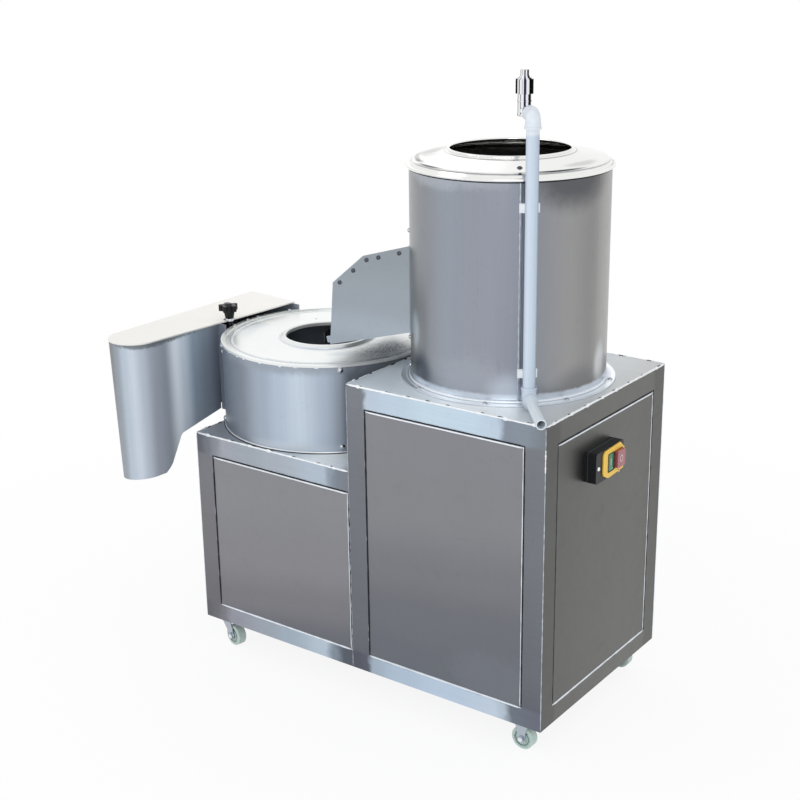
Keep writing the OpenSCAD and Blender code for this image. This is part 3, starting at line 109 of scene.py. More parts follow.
def addCamera(v):
    lens = bpy.data.cameras.new("viewCamera")
    lens.lens, lens.sensor_width = v["lens"], v["sensor"]
    lens.clip_start, lens.clip_end = v["clip"]
    forward = (Vector(v["target"]) - Vector(v["position"])).normalized()
    right = forward.cross(Vector((0, 0, 1))).normalized()
    up = right.cross(forward)
    turnedRight = math.cos(v["roll"]) * right + math.sin(v["roll"]) * up
    turnedUp = -math.sin(v["roll"]) * right + math.cos(v["roll"]) * up
    turn = Matrix((turnedRight, turnedUp, -forward)).transposed().to_4x4()
    bpy.context.scene.camera = addObject("viewCamera", lens)
    bpy.context.scene.camera.matrix_world = Matrix.Translation(v["position"]) @ turn


addCamera(view)
bpy.context.scene.view_settings.view_transform = "Standard"
print("camera placed")


def emptyTree(owner):
    owner.use_nodes = True
    owner.node_tree.nodes.clear()
    return owner.node_tree


# A node in the tree that the given sockets belong to, or in the one that is named
def addNode(kind, sockets=None, tree=None, **settings):
    sockets = sockets or {}
    given = {name: value for name, value in sockets.items() if isinstance(value, bpy.types.NodeSocket)}
    tree = tree or next(iter(given.values())).id_data
    made = tree.nodes.new("ShaderNode" + kind)
    for name, value in settings.items():
        setattr(made, name, value)
    for name, value in sockets.items():
        if name in given:
            tree.links.new(value, made.inputs[name])
        else:
            made.inputs[name].default_value = value
    return made


def sums(kind, a, b=0.0):
    return addNode("Math", {0: a, 1: b}, operation=kind).outputs[0]


def times(a, b):
    return sums("MULTIPLY", a, b)


def minus(a, b):
    return sums("SUBTRACT", a, b)


# Rises smoothly from 0 at start to 1 at end
def ease(value, start, end):
    return addNode("MapRange", {"Value": value, "From Min": start, "From Max": end},
                   interpolation_type="SMOOTHSTEP").outputs[0]


def blendColour(share, a, b, how="MIX"):
    return addNode("Mix", {0: share, 6: a, 7: b}, data_type="RGBA", blend_type=how).outputs[2]


# Colour along a value: soft steps through stops, each a value and the three numbers of its colour
def rampThrough(value, stops):
    first, last = stops[0][0], stops[-1][0]
    share = addNode("MapRange", {"Value": value, "From Min": first, "From Max": last}).outputs[0]
    made = addNode("ValToRGB", {0: share})
    ramp = made.color_ramp
    ramp.interpolation = "EASE"
    ramp.elements[0].color, ramp.elements[1].color = linear(stops[0][1:]), linear(stops[-1][1:])
    for at, *colour in stops[1:-1]:
        ramp.elements.new((at - first) / (last - first)).color = linear(colour)
    return made.outputs[0]


studio = {"fill": 0.92, "background": 1.0, "floorColour": (246, 246, 247), "floorSpeck": (250, 250, 251),
          "floorShare": 0.88, "floorNear": 1.1, "floorFar": 2.0, "floorRings": (0.4, 1.2, 2.5, 6, 15, 45),
          "speckScale": 90.0, "floorRough": 0.9, "floorGloss": 0.1, "aim": (0.05, 0.0, 0.6),
          "lamps": {"keyLamp": {"at": (-2.6, -3.4, 3.4), "size": 2.6, "watts": 18},
                    "backLamp": {"at": (-2.7, 3.5, 2.9), "size": 2.6, "watts": 5},
                    "sideLamp": {"at": (2.4, -3.6, 2.2), "size": 2.2, "watts": 26}}}


def raysThatSeeBackground(tree):
    path = addNode("LightPath", tree=tree).outputs
    seen = sums("MAXIMUM", path["Is Camera Ray"], path["Is Glossy Ray"])
    return sums("MAXIMUM", seen, path["Is Transmission Ray"])


def addWorld(s):
    world = bpy.data.worlds.new("studioWorld")
    bpy.context.scene.world = world
    tree = emptyTree(world)
    fill, white = (addNode("Background", {"Color": (1, 1, 1, 1), "Strength": s[name]}, tree).outputs[0]
                   for name in ("fill", "background"))
    mix = addNode("MixShader", {0: raysThatSeeBackground(tree), 1: fill, 2: white})
    addNode("OutputWorld", {"Surface": mix.outputs[0]})


def addLamps(s):
    for name, lamp in s["lamps"].items():
        data = bpy.data.lights.new(name, "AREA")
        data.shape, data.size, data.energy = "DISK", lamp["size"], lamp["watts"]
        made = addObject(name, data)
        aim = Vector(s["aim"]) - Vector(lamp["at"])
        made.matrix_world = Matrix.Translation(lamp["at"]) @ aim.to_track_quat("-Z", "Y").to_matrix().to_4x4()


def paintFloor(s):
    paint = bpy.data.materials.new("floorPaint")
    tree = emptyTree(paint)
    spot = addNode("TexCoord", tree=tree).outputs["Object"]
    away = addNode("VectorMath", {0: spot}, operation="LENGTH").outputs["Value"]
    glow = addNode("MapRange", {"Value": away, "From Min": s["floorNear"], "From Max": s["floorFar"],
                                "To Min": s["floorShare"]}, interpolation_type="SMOOTHSTEP").outputs[0]
    speck = addNode("TexNoise", {"Vector": spot, "Scale": s["speckScale"], "Detail": 4.0})
    colour = blendColour(speck.outputs["Fac"], linear(s["floorColour"]), linear(s["floorSpeck"]))
    matt = addNode("BsdfPrincipled", {"Base Color": colour, "Roughness": s["floorRough"],
                                      "Specular IOR Level": s["floorGloss"]})
    white = addNode("Emission", {"Color": (1, 1, 1, 1), "Strength": s["background"]}, tree)
    share = times(glow, raysThatSeeBackground(tree))
    mix = addNode("MixShader", {0: share, 1: matt.outputs[0], 2: white.outputs[0]})
    addNode("OutputMaterial", {"Surface": mix.outputs[0]})
    return paint


# The floor: rings of points round the middle, each ring wider than the last
def addFloor(s, sides=96):
    turns = np.linspace(0, 2 * np.pi, sides, endpoint=False)
    rings = np.array(s["floorRings"])
    rows = len(rings)
    flat = rings[:, None, None] * levelOut(turns)
    verts = np.concatenate([flat.reshape(-1, 3), [[0, 0, 0]]])
    quads = gridFaces(rows, sides)
    j = np.arange(sides)
    hub = np.stack([np.full(sides, rows * sides), j, (j + 1) % sides], -1)
    mesh = bpy.data.meshes.new("studioFloor")
    mesh.from_pydata(verts.tolist(), [], quads.tolist() + hub.tolist())
    mesh.materials.append(paintFloor(s))
    floor = addObject("studioFloor", mesh)


addWorld(studio)
addLamps(studio)
addFloor(studio)
print("studio ready")


# A number at every point, in mm or degrees: x, y or z, the run along a direction, the way out from an
# upright axis, or the turn round one
def measure(spot, kind):
    if kind in ("X", "Y", "Z"):
        return addNode("SeparateXYZ", {0: spot}).outputs[kind]
    name, value = kind
    if name == "along":
        return addNode("VectorMath", {0: spot, 1: value}, operation="DOT_PRODUCT").outputs["Value"]
    centred = addNode("VectorMath", {0: spot, 1: (*value, 0)}, operation="SUBTRACT").outputs[0]
    if name == "out":
        flat = addNode("VectorMath", {0: centred, 1: (1, 1, 0)}, operation="MULTIPLY").outputs[0]
        return addNode("VectorMath", {0: flat}, operation="LENGTH").outputs["Value"]
    parts = addNode("SeparateXYZ", {0: centred}).outputs
    return sums("DEGREES", sums("ARCTAN2", parts["Y"], parts["X"]))


# Brushing: noise squeezed along one way, or rings that depend only on the way out from an axis
def grainField(spot, grain):
    if "rings" in grain:
        out = times(measure(spot, ("out", grain["rings"])), grain["lines"])
        return addNode("TexNoise", {"W": out, "Scale": 1.0, "Detail": 5.0, "Roughness": 0.7},
                       noise_dimensions="1D").outputs["Fac"]
    squeezed = addNode("Mapping", {"Vector": spot, "Scale": grain["squeeze"]}).outputs[0]
    return addNode("TexNoise", {"Vector": squeezed, "Scale": 1.0, "Detail": 6.0,
                                "Roughness": 0.62}).outputs["Fac"]


# How far out a point lies in an oval: the root of (u/a)^2 + (v/b)^2, for two measures u and v
def ovalDistance(spot, by, at, size):
    u, v = (sums("DIVIDE", minus(measure(spot, kind), middle), half)
            for kind, middle, half in zip(by, at, size))
    return sums("SQRT", sums("ADD", times(u, u), times(v, v)))


# The share inside the oval's core, falling to 0 at its edge, which the smear makes ragged
def patchMask(spot, smear, by, at, size, share=1.0, ragged=0.0, core=0.3):
    far = ovalDistance(spot, by, at, size)
    shifted = sums("ADD", far, times(minus(smear, 0.5), ragged))
    return times(minus(1.0, ease(shifted, core, 1.0)), share)


# Tone from a constant, from stops along a measure, or from a function of its own
def toneOf(spot, f):
    if "tone" not in f:
        return linear(f["colour"])
    if callable(f["tone"]):
        return f["tone"](spot)
    kind, stops = f["tone"]
    return rampThrough(measure(spot, kind), stops)


# The tone times one factor: 1 swung up and down by the grain and by broad clouds, and lowered in stains.
# The same fields move the roughness, and the grain lifts the surface a little.
def makeFinish(name, own):
    f = {**plain, **own}
    material = bpy.data.materials.new(name)
    metres = addNode("TexCoord", tree=emptyTree(material)).outputs["Object"]
    spot = addNode("Mapping", {"Vector": metres, "Location": cabinet["middle"],
                               "Scale": (1000, 1000, 1000)}).outputs[0]
    grain = grainField(spot, f["grain"])
    drifted = addNode("Mapping", {"Vector": spot, "Scale": f["drift"]}).outputs[0]
    cloud = addNode("TexNoise", {"Vector": drifted, "Scale": 1.0, "Detail": 3.0}).outputs["Fac"]
    smear = addNode("TexNoise", {"Vector": spot, "Scale": f["smear"], "Detail": 5.0, "Roughness": 0.7,
                                 "Distortion": 0.8}).outputs["Fac"]
    mixed = addNode("Mix", {0: f["cloudShare"], 2: grain, 3: cloud}).outputs[0]
    factor = addNode("MapRange", {"Value": mixed, **noiseSpan, "To Min": 1 - f["swing"],
                                  "To Max": 1 + f["swing"]}).outputs[0]
    stained = times(ease(smear, *f["stainSpan"]), f["stain"])
    factor = times(factor, minus(1.0, stained))
    colour = blendColour(1.0, toneOf(spot, f), factor, "MULTIPLY")
    for by, rows in f["patches"]:
        for at, size, tint, *how in rows:
            colour = blendColour(patchMask(spot, smear, by, at, size, *how), colour, linear(tint))
    for marks in f["marks"]:
        colour = marks(spot, colour, smear)
    halfway = addNode("Mix", {0: 0.5, 2: mixed, 3: smear}).outputs[0]
    roughness = addNode("MapRange", {"Value": halfway, **noiseSpan, "To Min": f["rough"][0],
                                     "To Max": f["rough"][1]}).outputs[0]
    lift = addNode("Bump", {"Height": grain, "Strength": f["lift"], "Distance": f["depth"]}).outputs[0]
    shader = addNode("BsdfPrincipled", {"Base Color": colour, "Roughness": roughness, "Normal": lift,
                                        "Metallic": f["metal"], **f["shader"]})
    addNode("OutputMaterial", {"Surface": shader.outputs[0]})
    return material


upright = {"squeeze": (0.33, 0.33, 0.005)}
acrossX = {"squeeze": (0.005, 0.33, 0.33)}
acrossY = {"squeeze": (0.33, 0.005, 0.33)}
cast = {"squeeze": (0.42, 0.42, 0.42)}
fine = {"squeeze": (0.9, 0.9, 0.9)}
turned = {"squeeze": (0.04, 0.04, 0.7)}
roundPeel = ("round", peelAxis)
outOfPeel = ("out", peelAxis)
roundSlice = ("round", sliceAxis)
outOfSlice = ("out", sliceAxis)
acrossView = ("along", (0.804, 0.595, 0))  # level run from hood front to right rear
riserAxis, tapAxis = (tuple(sum(nodeBox(name))[:2] / 2) for name in ("riser_pipe", "tap_handle"))
onFront, outAndUp = ["X", "Z"], [outOfPeel, "Z"]
onPeel, overPeelLid = [roundPeel, "Z"], [roundPeel, outOfPeel]
onSlice, overSliceLid = [roundSlice, "Z"], [roundSlice, outOfSlice]

noiseSpan = {"From Min": 0.3, "From Max": 0.7}  # what a noise field mostly stays within
plain = {"grain": fine, "rough": (0.3, 0.42), "metal": 1.0, "swing": 0.12, "cloudShare": 0.45,
         "drift": (0.009, 0.009, 0.004), "smear": 0.034,
         "stain": 0.06, "stainSpan": (0.56, 0.78), "lift": 0.1, "depth": 0.0003, "patches": [], "marks": [],
         "shader": {}}

# Frame tones: post climbs the height and is painted shade, darker low down; headTone and footTone run along
# the bars and are painted highlight bands; side is the right face, painted darker as shade
lowBars = {
    "head": 411, "rightFace": 5000,
    "post": [(20, 114, 113, 118), (220, 124, 123, 128), (420, 129, 131, 137)],
    "headTone": [
        (5, 112, 112, 120), (30, 124, 129, 138), (55, 144, 148, 157), (80, 168, 172, 182),
        (150, 166, 174, 183), (230, 174, 183, 193), (340, 181, 194, 207), (366, 180, 192, 206),
        (385, 148, 161, 174), (405, 131, 139, 150), (432, 130, 133, 140)],
    "footTone": [
        (5, 104, 104, 110), (30, 113, 113, 118), (55, 126, 127, 135), (80, 150, 152, 163),
        (180, 157, 165, 176), (255, 164, 178, 192), (355, 184, 198, 212), (384, 134, 146, 159),
        (410, 92, 98, 108), (432, 92, 96, 106)],
    "side": [(0, 110, 110, 110), (488, 112, 112, 111)]}
tallBars = {
    "head": 603, "rightFace": 909.4,
    "post": [(20, 103, 106, 115), (130, 112, 114, 121), (420, 121, 124, 131), (640, 128, 131, 138)],
    "headTone": [
        (438, 130, 133, 140), (474, 130, 134, 141), (490, 193, 207, 222), (560, 198, 215, 231),
        (640, 203, 222, 235), (740, 202, 221, 237), (800, 196, 212, 228), (820, 141, 149, 163),
        (865, 142, 152, 163), (905, 131, 138, 146)],
    "footTone": [
        (438, 90, 92, 103), (474, 94, 98, 109), (491, 165, 180, 195), (560, 178, 195, 213),
        (700, 188, 205, 224), (795, 194, 208, 224), (820, 184, 197, 210), (842, 114, 122, 133),
        (905, 110, 114, 126)],
    "side": [
        (0, 92, 92, 91), (44, 93, 93, 92), (62, 103, 104, 102), (300, 108, 108, 105), (436, 107, 107, 105),
        (450, 95, 95, 93), (488, 95, 95, 93)]}
barEdges = {"smear": 0.035, "shift": 26.0, "lowShift": 0.4, "head": (-6, 4), "foot": (-4, 5), "front": (4, 6),
            "rightFade": 0.5}


# Frame tones, all painted light: highlight bands painted along the bars' middles that darken toward their
# ends, posts painted darker toward the bottom as shade, and the right side painted darker as shade
def frameTone(bars, s=barEdges):
    def tone(spot):
        smear = addNode("TexNoise", {"Vector": spot, "Scale": s["smear"], "Detail": 5.0}).outputs["Fac"]
        x, y, z = (measure(spot, axis) for axis in "XYZ")
        shift = times(minus(smear, 0.5), s["shift"])
        wavy = sums("ADD", x, shift)
        low = sums("ADD", z, times(shift, s["lowShift"]))
        atHead = ease(low, *(bars["head"] + reach for reach in s["head"]))
        foot = ease(low, *(cabinet["foot"] + reach for reach in s["foot"]))
        front = minus(1.0, ease(y, *s["front"]))
        shown = rampThrough(z, bars["post"])
        # Along each bar the ramp is a painted highlight band, laid over the painted shade of the posts
        for share, name in ((atHead, "headTone"), (minus(1.0, foot), "footTone")):
            barSheen = rampThrough(wavy, bars[name])
            shown = blendColour(times(share, front), shown, barSheen)
        right = ease(x, bars["rightFace"], bars["rightFace"] + s["rightFade"])
        return blendColour(right, shown, rampThrough(y, bars["side"]))
    return tone


grit = {"cells": 0.52, "pick": (0.72, 0.95), "share": 0.5, "colour": (78, 76, 74)}
smudge = {"zone": (["X", "Y"], (368, 232), (80, 118), 1.0, 1.2, 0.1), "colour": (58, 64, 72), "specks": 0.22,
          "pick": (0.36, 0.56), "share": 0.92}
stopSign = {"middle": (236.5, 522.0), "half": (5.2, 6.4), "stroke": (0.1, 0.22), "face": (946.0, 946.4),
            "share": 0.8, "colour": (214, 200, 198)}


# Grains of abrasive: cells with light ones scattered among dark ones
def gritMarks(spot, under, smear, s=grit):
    cells = addNode("TexVoronoi", {"Vector": spot, "Scale": s["cells"]})
    pick = ease(addNode("SeparateXYZ", {0: cells.outputs["Color"]}).outputs["X"], *s["pick"])
    return blendColour(times(pick, s["share"]), under, linear(s["colour"]))


# Smudges of dark dust that thin out from the chute's foot over the lid
def smudgeMarks(spot, under, smear, s=smudge):
    speck = addNode("TexNoise", {"Vector": spot, "Scale": s["specks"], "Detail": 6.0,
                                 "Roughness": 0.85}).outputs["Fac"]
    share = times(patchMask(spot, smear, *s["zone"]), ease(speck, *s["pick"]))
    return blendColour(times(share, s["share"]), under, linear(s["colour"]))


# The stop sign: pale on the key's face where the oval distance from its middle is near 1
def stopMarks(spot, under, smear, s=stopSign):
    far = ovalDistance(spot, ["Y", "Z"], s["middle"], s["half"])
    off = sums("ABSOLUTE", minus(far, 1.0))
    stroke = minus(1.0, ease(off, *s["stroke"]))
    share = times(stroke, ease(measure(spot, "X"), *s["face"]))
    return blendColour(times(share, s["share"]), under, linear(s["colour"]))


finishes = {
    "frameLow": {
        "on": ["low_frame"], "tone": frameTone(lowBars), "grain": acrossX, "rough": (0.3, 0.44),
        "swing": 0.07},
    "frameTall": {
        "on": ["tall_frame"], "tone": frameTone(tallBars), "grain": acrossX, "rough": (0.3, 0.44),
        "swing": 0.07},
    # Top plates: the tone along each plate is a painted highlight, brightest where the plate catches the sky
    # and lamps and darker away from it
    "plateLow": {
        "tone": ("X", [
            (0, 160, 165, 174), (60, 146, 153, 163), (150, 142, 152, 164), (260, 184, 196, 206),
            (345, 246, 252, 254), (400, 234, 243, 250), (435, 176, 185, 195)]),
        "on": ["low_top_plate"], "grain": acrossX, "metal": 0.12, "swing": 0.1,
        "drift": (0.005, 0.01, 0.01)},
    "plateTall": {
        "tone": (("along", (1, 0.15, 0)), [
            (435, 190, 199, 207), (480, 210, 220, 229), (620, 228, 239, 247), (740, 246, 251, 253),
            (870, 208, 214, 218), (980, 196, 198, 198)]),
        "on": ["tall_top_plate"], "grain": acrossX, "metal": 0.2, "swing": 0.06,
        "drift": (0.005, 0.01, 0.01)},
    # Front panels: the tone climbing from dark at the foot to lighter at the top is painted shade; the two
    # low patches shift that painted shade a little
    "panelTall": {
        "tone": (("along", (-0.12, 0, 1)), [
            (0, 110, 114, 122), (110, 117, 119, 126), (200, 127, 128, 133), (330, 139, 140, 144),
            (560, 142, 143, 148)]),
        "patches": [(onFront, [
            ((800, 84), (150, 90), (122, 126, 134), 0.6, 0.6),
            ((600, 150), (150, 60), (116, 119, 126), 0.5)])],
        "on": ["tall_front_panel"], "grain": upright, "rough": (0.36, 0.48), "swing": 0.03,
        "cloudShare": 0.6},
    # Painted shade: darker toward the foot
    "panelLow": {
        "tone": (("along", (-0.16, 0, 1)), [
            (-20, 111, 113, 121), (60, 127, 127, 132), (160, 139, 139, 144), (330, 144, 145, 149)]),
        "on": ["low_front_panel"], "grain": upright, "rough": (0.36, 0.48), "swing": 0.03,
        "cloudShare": 0.6},
    # Side panels painted darker than the front panels: painted shade
    "panelSide": {
        "tone": ("Y", [
            (45, 103, 103, 102), (200, 107, 107, 105), (340, 109, 109, 107), (445, 107, 107, 105)]),
        "on": ["right_panel", "left_panel", "step_panel"], "grain": upright, "rough": (0.36, 0.48),
        "swing": 0.045, "cloudShare": 0.7},
    "panelRear": {
        "on": ["rear_panels"], "colour": (124, 126, 130), "grain": upright, "rough": (0.36, 0.5),
        "swing": 0.05},
    "basePan": {"on": ["base_pans"], "colour": (120, 122, 126), "grain": acrossX, "rough": (0.4, 0.55)},
    "drumWall": {
        # Painted reflections: the tone round the drum is light and dark upright bands. The wall patches below
        # the top, among them the lens at -126° (the white lid's reflection) and the tall light strip at -49°
        # beside the seam, are painted reflections; the two at the top lighten it at -98° and darken it at
        # -20°. The outAndUp patches paint the flange's top nearly white, a painted sheen.
        "tone": (roundPeel, [
            (-180, 149, 152, 156), (-140, 148, 151, 153), (-118, 144, 147, 151), (-92, 154, 160, 171),
            (-70, 152, 156, 168), (-56, 144, 149, 161), (-44, 142, 146, 153), (-24, 153, 153, 154),
            (-6, 141, 141, 141), (8, 158, 157, 156), (40, 146, 149, 156), (100, 156, 160, 168),
            (145, 134, 138, 144), (180, 142, 145, 149)]),
        "patches": [(onPeel, [
            ((-20, 1085), (38, 78), (90, 91, 95), 0.9, 0.35),
            ((-98, 1082), (46, 26), (184, 190, 199), 0.6, 1.0),
            ((-80, 700), (30, 60), (172, 178, 189), 0.4, 0.8),
            ((-58, 664), (17, 62), (190, 198, 211), 0.85), ((-14, 670), (24, 60), (116, 117, 120), 0.7),
            ((-118, 684), (14, 56), (90, 98, 108), 0.9), ((-126, 765), (8, 52), (206, 213, 222), 0.8),
            ((6, 700), (9, 60), (214, 218, 222), 0.7), ((-49, 880), (5, 260), (172, 180, 194), 0.6)
        ]), (outAndUp, [
            ((213, 651), (10, 9), (244, 248, 251), 1.0, 0.0, 0.8),
            ((202, 655), (9, 17), (208, 216, 227), 1.0, 0.5, 0.6)])],
        "on": ["peel_drum"], "grain": upright, "rough": (0.26, 0.38), "swing": 0.045,
        "drift": (0.012, 0.012, 0.002)},
    "drumWallLow": {
        # Painted reflections: the tone round the slicing drum is light and dark upright bands; the patches
        # add a lighter painted reflection near the foot and a band of painted shade under the lid
        "tone": (roundSlice, [
            (-180, 116, 122, 132), (-148, 118, 126, 139), (-118, 112, 121, 134), (-104, 126, 135, 147),
            (-88, 155, 167, 182), (-78, 172, 186, 202), (-66, 193, 206, 219), (-54, 174, 187, 203),
            (-46, 160, 171, 186), (-40, 108, 116, 126), (0, 132, 140, 150), (60, 168, 180, 194),
            (110, 120, 128, 140), (150, 160, 171, 184), (180, 116, 122, 132)]),
        "patches": [(onSlice, [
            ((-70, 466), (34, 22), (196, 205, 214), 0.5),
            ((-80, 652), (60, 26), (146, 156, 168), 0.8, 0.8)])],
        "on": ["slicing_drum"], "grain": upright, "metal": 0.2, "swing": 0.06, "drift": (0.02, 0.02, 0.002)},
    "lidMirror": {
        # Painted reflections and shade on the mirror lid: dark streaks and grey zones where it mirrors darker
        # surroundings, a dark ring of painted shade under the rim's edge at 197.5 mm and a grey ring of
        # painted shadow round the mouth's collar at 131 mm
        "patches": [(overPeelLid, [
            ((-60, 197.5), (130, 2.4), (118, 122, 128), 0.75, 0.5),
            ((-60, 131), (170, 3.2), (150, 152, 154), 0.9, 0.4),
            ((-158, 160), (38, 34), (158, 157, 152), 0.9, 0.6),
            ((-140, 186), (26, 8), (92, 93, 94), 0.85, 0.8), ((-132, 188), (9, 6), (16, 16, 18), 1.0, 0.8),
            ((-112, 193), (16, 4), (100, 102, 106)), ((-30, 193), (26, 4), (52, 54, 58), 1.0, 0.3),
            ((-6, 176), (22, 14), (176, 176, 172), 0.6, 0.6)])],
        "on": ["peel_lid"], "colour": (238, 238, 236), "grain": {"rings": peelAxis, "lines": 0.9},
        "rough": (0.08, 0.18), "swing": 0.04, "stain": 0.03, "lift": 0.04},
    "lidSatin": {
        # Patches: thin rings of painted shade beside the raised beads at 221 and 111 mm; the others darken
        # the left side and the lid by the throat
        "patches": [(overSliceLid, [
            ((0, 221), (400, 3), (196, 203, 211), 0.8), ((0, 111), (400, 3), (200, 207, 214), 0.7),
            ((-178, 190), (50, 26), (212, 218, 223), 0.6, 0.8),
            ((-170, 210), (60, 8), (206, 212, 218), 0.7, 0.6), ((-60, 112), (60, 9), (206, 214, 224), 0.8),
            ((-35, 150), (22, 24), (196, 205, 216), 0.6, 0.7)])],
        "on": ["slicer_lid"], "colour": (234, 237, 236), "grain": {"rings": sliceAxis, "lines": 0.8},
        "rough": (0.26, 0.4), "metal": 0.6, "swing": 0.035, "stain": 0.03, "marks": [smudgeMarks]},
    "gritDark": {
        "on": ["abrasive_lining"], "colour": (17, 17, 18), "grain": cast, "rough": (0.8, 0.98),
        "metal": 0.0, "lift": 0.9, "depth": 0.0012, "marks": [gritMarks]},
    "gritDisc": {
        "on": ["wave_disc"], "colour": (50, 49, 47), "grain": cast, "rough": (0.7, 0.92), "metal": 0.0,
        "lift": 0.9, "depth": 0.001, "marks": [gritMarks]},
    "trayAlloy": {
        "on": ["drain_tray", "slicer_rotor"], "colour": (150, 153, 156), "grain": cast, "rough": (0.4, 0.6),
        "lift": 0.4},
    "chuteSteel": {
        # The tone by height is painted light: lightest near 730 mm and darker higher up
        "tone": ("Z", [
            (690, 166, 176, 187), (730, 171, 182, 193), (790, 162, 170, 179), (900, 156, 164, 171)]),
        "on": ["chute_sides", "chute_roof", "chute_floor"], "grain": acrossX, "swing": 0.035},
    "sheetBright": {
        "on": ["outlet_gate", "knife_holder"], "colour": (176, 182, 188), "grain": upright,
        "rough": (0.25, 0.38)},
    "hoodIvory": {
        "on": ["hood_top"], "colour": (236, 235, 231), "grain": acrossY, "rough": (0.34, 0.5), "metal": 0.5,
        "swing": 0.02, "stain": 0.03},
    "hoodSkirt": {
        # Painted reflections: the tone across the view, from hood front to right rear, is light and dark
        # upright bands. The patch paints a dark ragged band just under the hood top: the hem seam there and
        # painted shade under the top's edge.
        "tone": (acrossView, [
            (-184, 100, 104, 108), (-168, 142, 150, 160), (-150, 178, 190, 203), (-130, 196, 206, 219),
            (-108, 176, 186, 199), (-88, 166, 174, 186), (-66, 150, 159, 171), (-44, 228, 238, 248),
            (-30, 206, 219, 232), (-8, 152, 168, 184), (14, 142, 155, 170), (40, 114, 122, 136),
            (90, 126, 134, 144), (180, 150, 160, 172)]),
        "patches": [([acrossView, "Z"], [
            ((-90, 666), (100, 11), (96, 103, 108), 0.85, 1.4, 0.5)])],
        "on": ["hood_skirt"], "grain": upright, "metal": 0.1, "swing": 0.05, "drift": (0.02, 0.02, 0.002)},
    "boltZinc": {
        "on": ["drum_bolts", "slicer_bolts", "disc_nut"], "colour": (184, 188, 194), "rough": (0.14, 0.3),
        "swing": 0.2},
    "boltDark": {"on": ["chute_bolts"], "colour": (82, 86, 92), "rough": (0.25, 0.4), "swing": 0.2},
    # Bright ground welds, tacks, nuts and screws, and also the corner's painted glint
    "weldBrightAndGlint": {
        "colour": (236, 240, 243), "grain": cast, "rough": (0.25, 0.42), "metal": 0.5, "lift": 0.4,
        "depth": 0.0005},
    "weldSoft": {
        "colour": (190, 197, 207), "grain": cast, "rough": (0.25, 0.45), "swing": 0.2, "lift": 0.5,
        "depth": 0.0005},
    "edgeLight": {"colour": (230, 236, 243), "rough": (0.25, 0.4), "metal": 0.4, "swing": 0.1},
    "gapDark": {
        "colour": (34, 36, 41), "rough": (0.6, 0.8), "metal": 0.0, "shader": {"Specular IOR Level": 0.15}},
    "pipePaint": {
        "patches": [(["Z", "X"], [
            ((1210, 820), (40, 90), (226, 232, 238), 0.7, 0.0, 0.8),
            ((664, 850), (34, 90), (206, 214, 222), 0.6)])],
        # The tone round the riser is painted light and shade, bands of lighter and darker round the pipe; the
        # two patches lighten the elbows
        "tone": (("round", riserAxis), [
            (-180, 158, 170, 186), (-145, 146, 157, 176), (-122, 192, 203, 218), (-85, 200, 212, 227),
            (-50, 192, 207, 221), (-15, 180, 195, 211), (20, 150, 164, 182), (60, 172, 186, 202),
            (120, 190, 200, 214), (180, 158, 170, 186)]),
        "on": ["riser_pipe"], "grain": upright, "metal": 0.0, "swing": 0.02, "lift": 0.04,
        "shader": {"Coat Weight": 0.12, "Coat Roughness": 0.2}},
    "stubWhite": {"on": ["inlet_stub"], "colour": (214, 224, 230), "metal": 0.0, "swing": 0.03},
    "clampWhite": {
        "on": ["pipe_clamps"], "colour": (236, 242, 246), "rough": (0.25, 0.4), "metal": 0.0, "swing": 0.03},
    "chrome": {
        # Painted reflections: black and white bands round the tap's axis, the chrome's mirror image of its
        # surroundings
        "tone": (("round", tapAxis), [
            (-180, 16, 17, 20), (-126, 14, 15, 18), (-119, 236, 237, 240), (-101, 240, 241, 243),
            (-94, 40, 43, 48), (-88, 238, 239, 242), (-68, 242, 243, 245), (-61, 34, 36, 60),
            (-50, 40, 42, 66), (-43, 236, 237, 246), (-28, 232, 236, 234), (-20, 12, 13, 14),
            (30, 14, 15, 16), (44, 228, 230, 232), (90, 60, 62, 66), (130, 232, 233, 236),
            (180, 16, 17, 20)]),
        "on": ["tap_body", "tap_handle"], "rough": (0.06, 0.14), "swing": 0.04, "lift": 0.02},
    "blackPlastic": {
        "on": ["cable_gland", "star_knob"], "colour": (12, 13, 16), "grain": cast, "metal": 0.0,
        "lift": 0.12, "shader": {"Specular IOR Level": 0.3}},
    "boxPlastic": {
        "on": ["switch_box"], "colour": (19, 21, 24), "rough": (0.32, 0.46), "metal": 0.0, "lift": 0.25,
        "shader": {"Specular IOR Level": 0.35}},
    "plateYellow": {
        "on": ["switch_plate"], "colour": (232, 190, 66), "metal": 0.0, "swing": 0.06},
    "keyGreen": {
        # Painted shade and highlight: dark along the key's left edge, brightest across its middle
        "tone": ("Y", [
            (194, 18, 50, 40), (201, 34, 104, 74), (208, 48, 140, 98), (216, 36, 112, 80)]),
        "on": ["start_button"], "rough": (0.2, 0.32), "metal": 0.0, "swing": 0.08,
        "shader": {"Coat Weight": 0.3, "Coat Roughness": 0.15}},
    "keyRed": {
        "on": ["stop_button"], "colour": (146, 66, 76), "marks": [stopMarks], "rough": (0.14, 0.26),
        "metal": 0.0, "smear": 0.12, "stain": 0.2,
        "shader": {"Coat Weight": 0.5, "Coat Roughness": 0.1, "Subsurface Weight": 0.25,
                   "Subsurface Scale": 0.004}},
    "markWhite": {"colour": (222, 218, 214), "rough": (0.3, 0.45), "metal": 0.0, "swing": 0.04},
    "brass": {"colour": (206, 182, 132), "rough": (0.2, 0.34), "swing": 0.15},
    "motorPaint": {
        "on": ["motor"], "colour": (72, 84, 96), "grain": cast, "rough": (0.45, 0.6), "metal": 0.0,
        "lift": 0.3},
    "castIron": {
        "on": ["motor_pulley", "peel_pulley", "slicer_pulley", "bearing_housings"], "colour": (92, 92, 94),
        "grain": cast, "rough": (0.5, 0.68), "metal": 0.8, "lift": 0.6, "depth": 0.0006},
    "shaftSteel": {
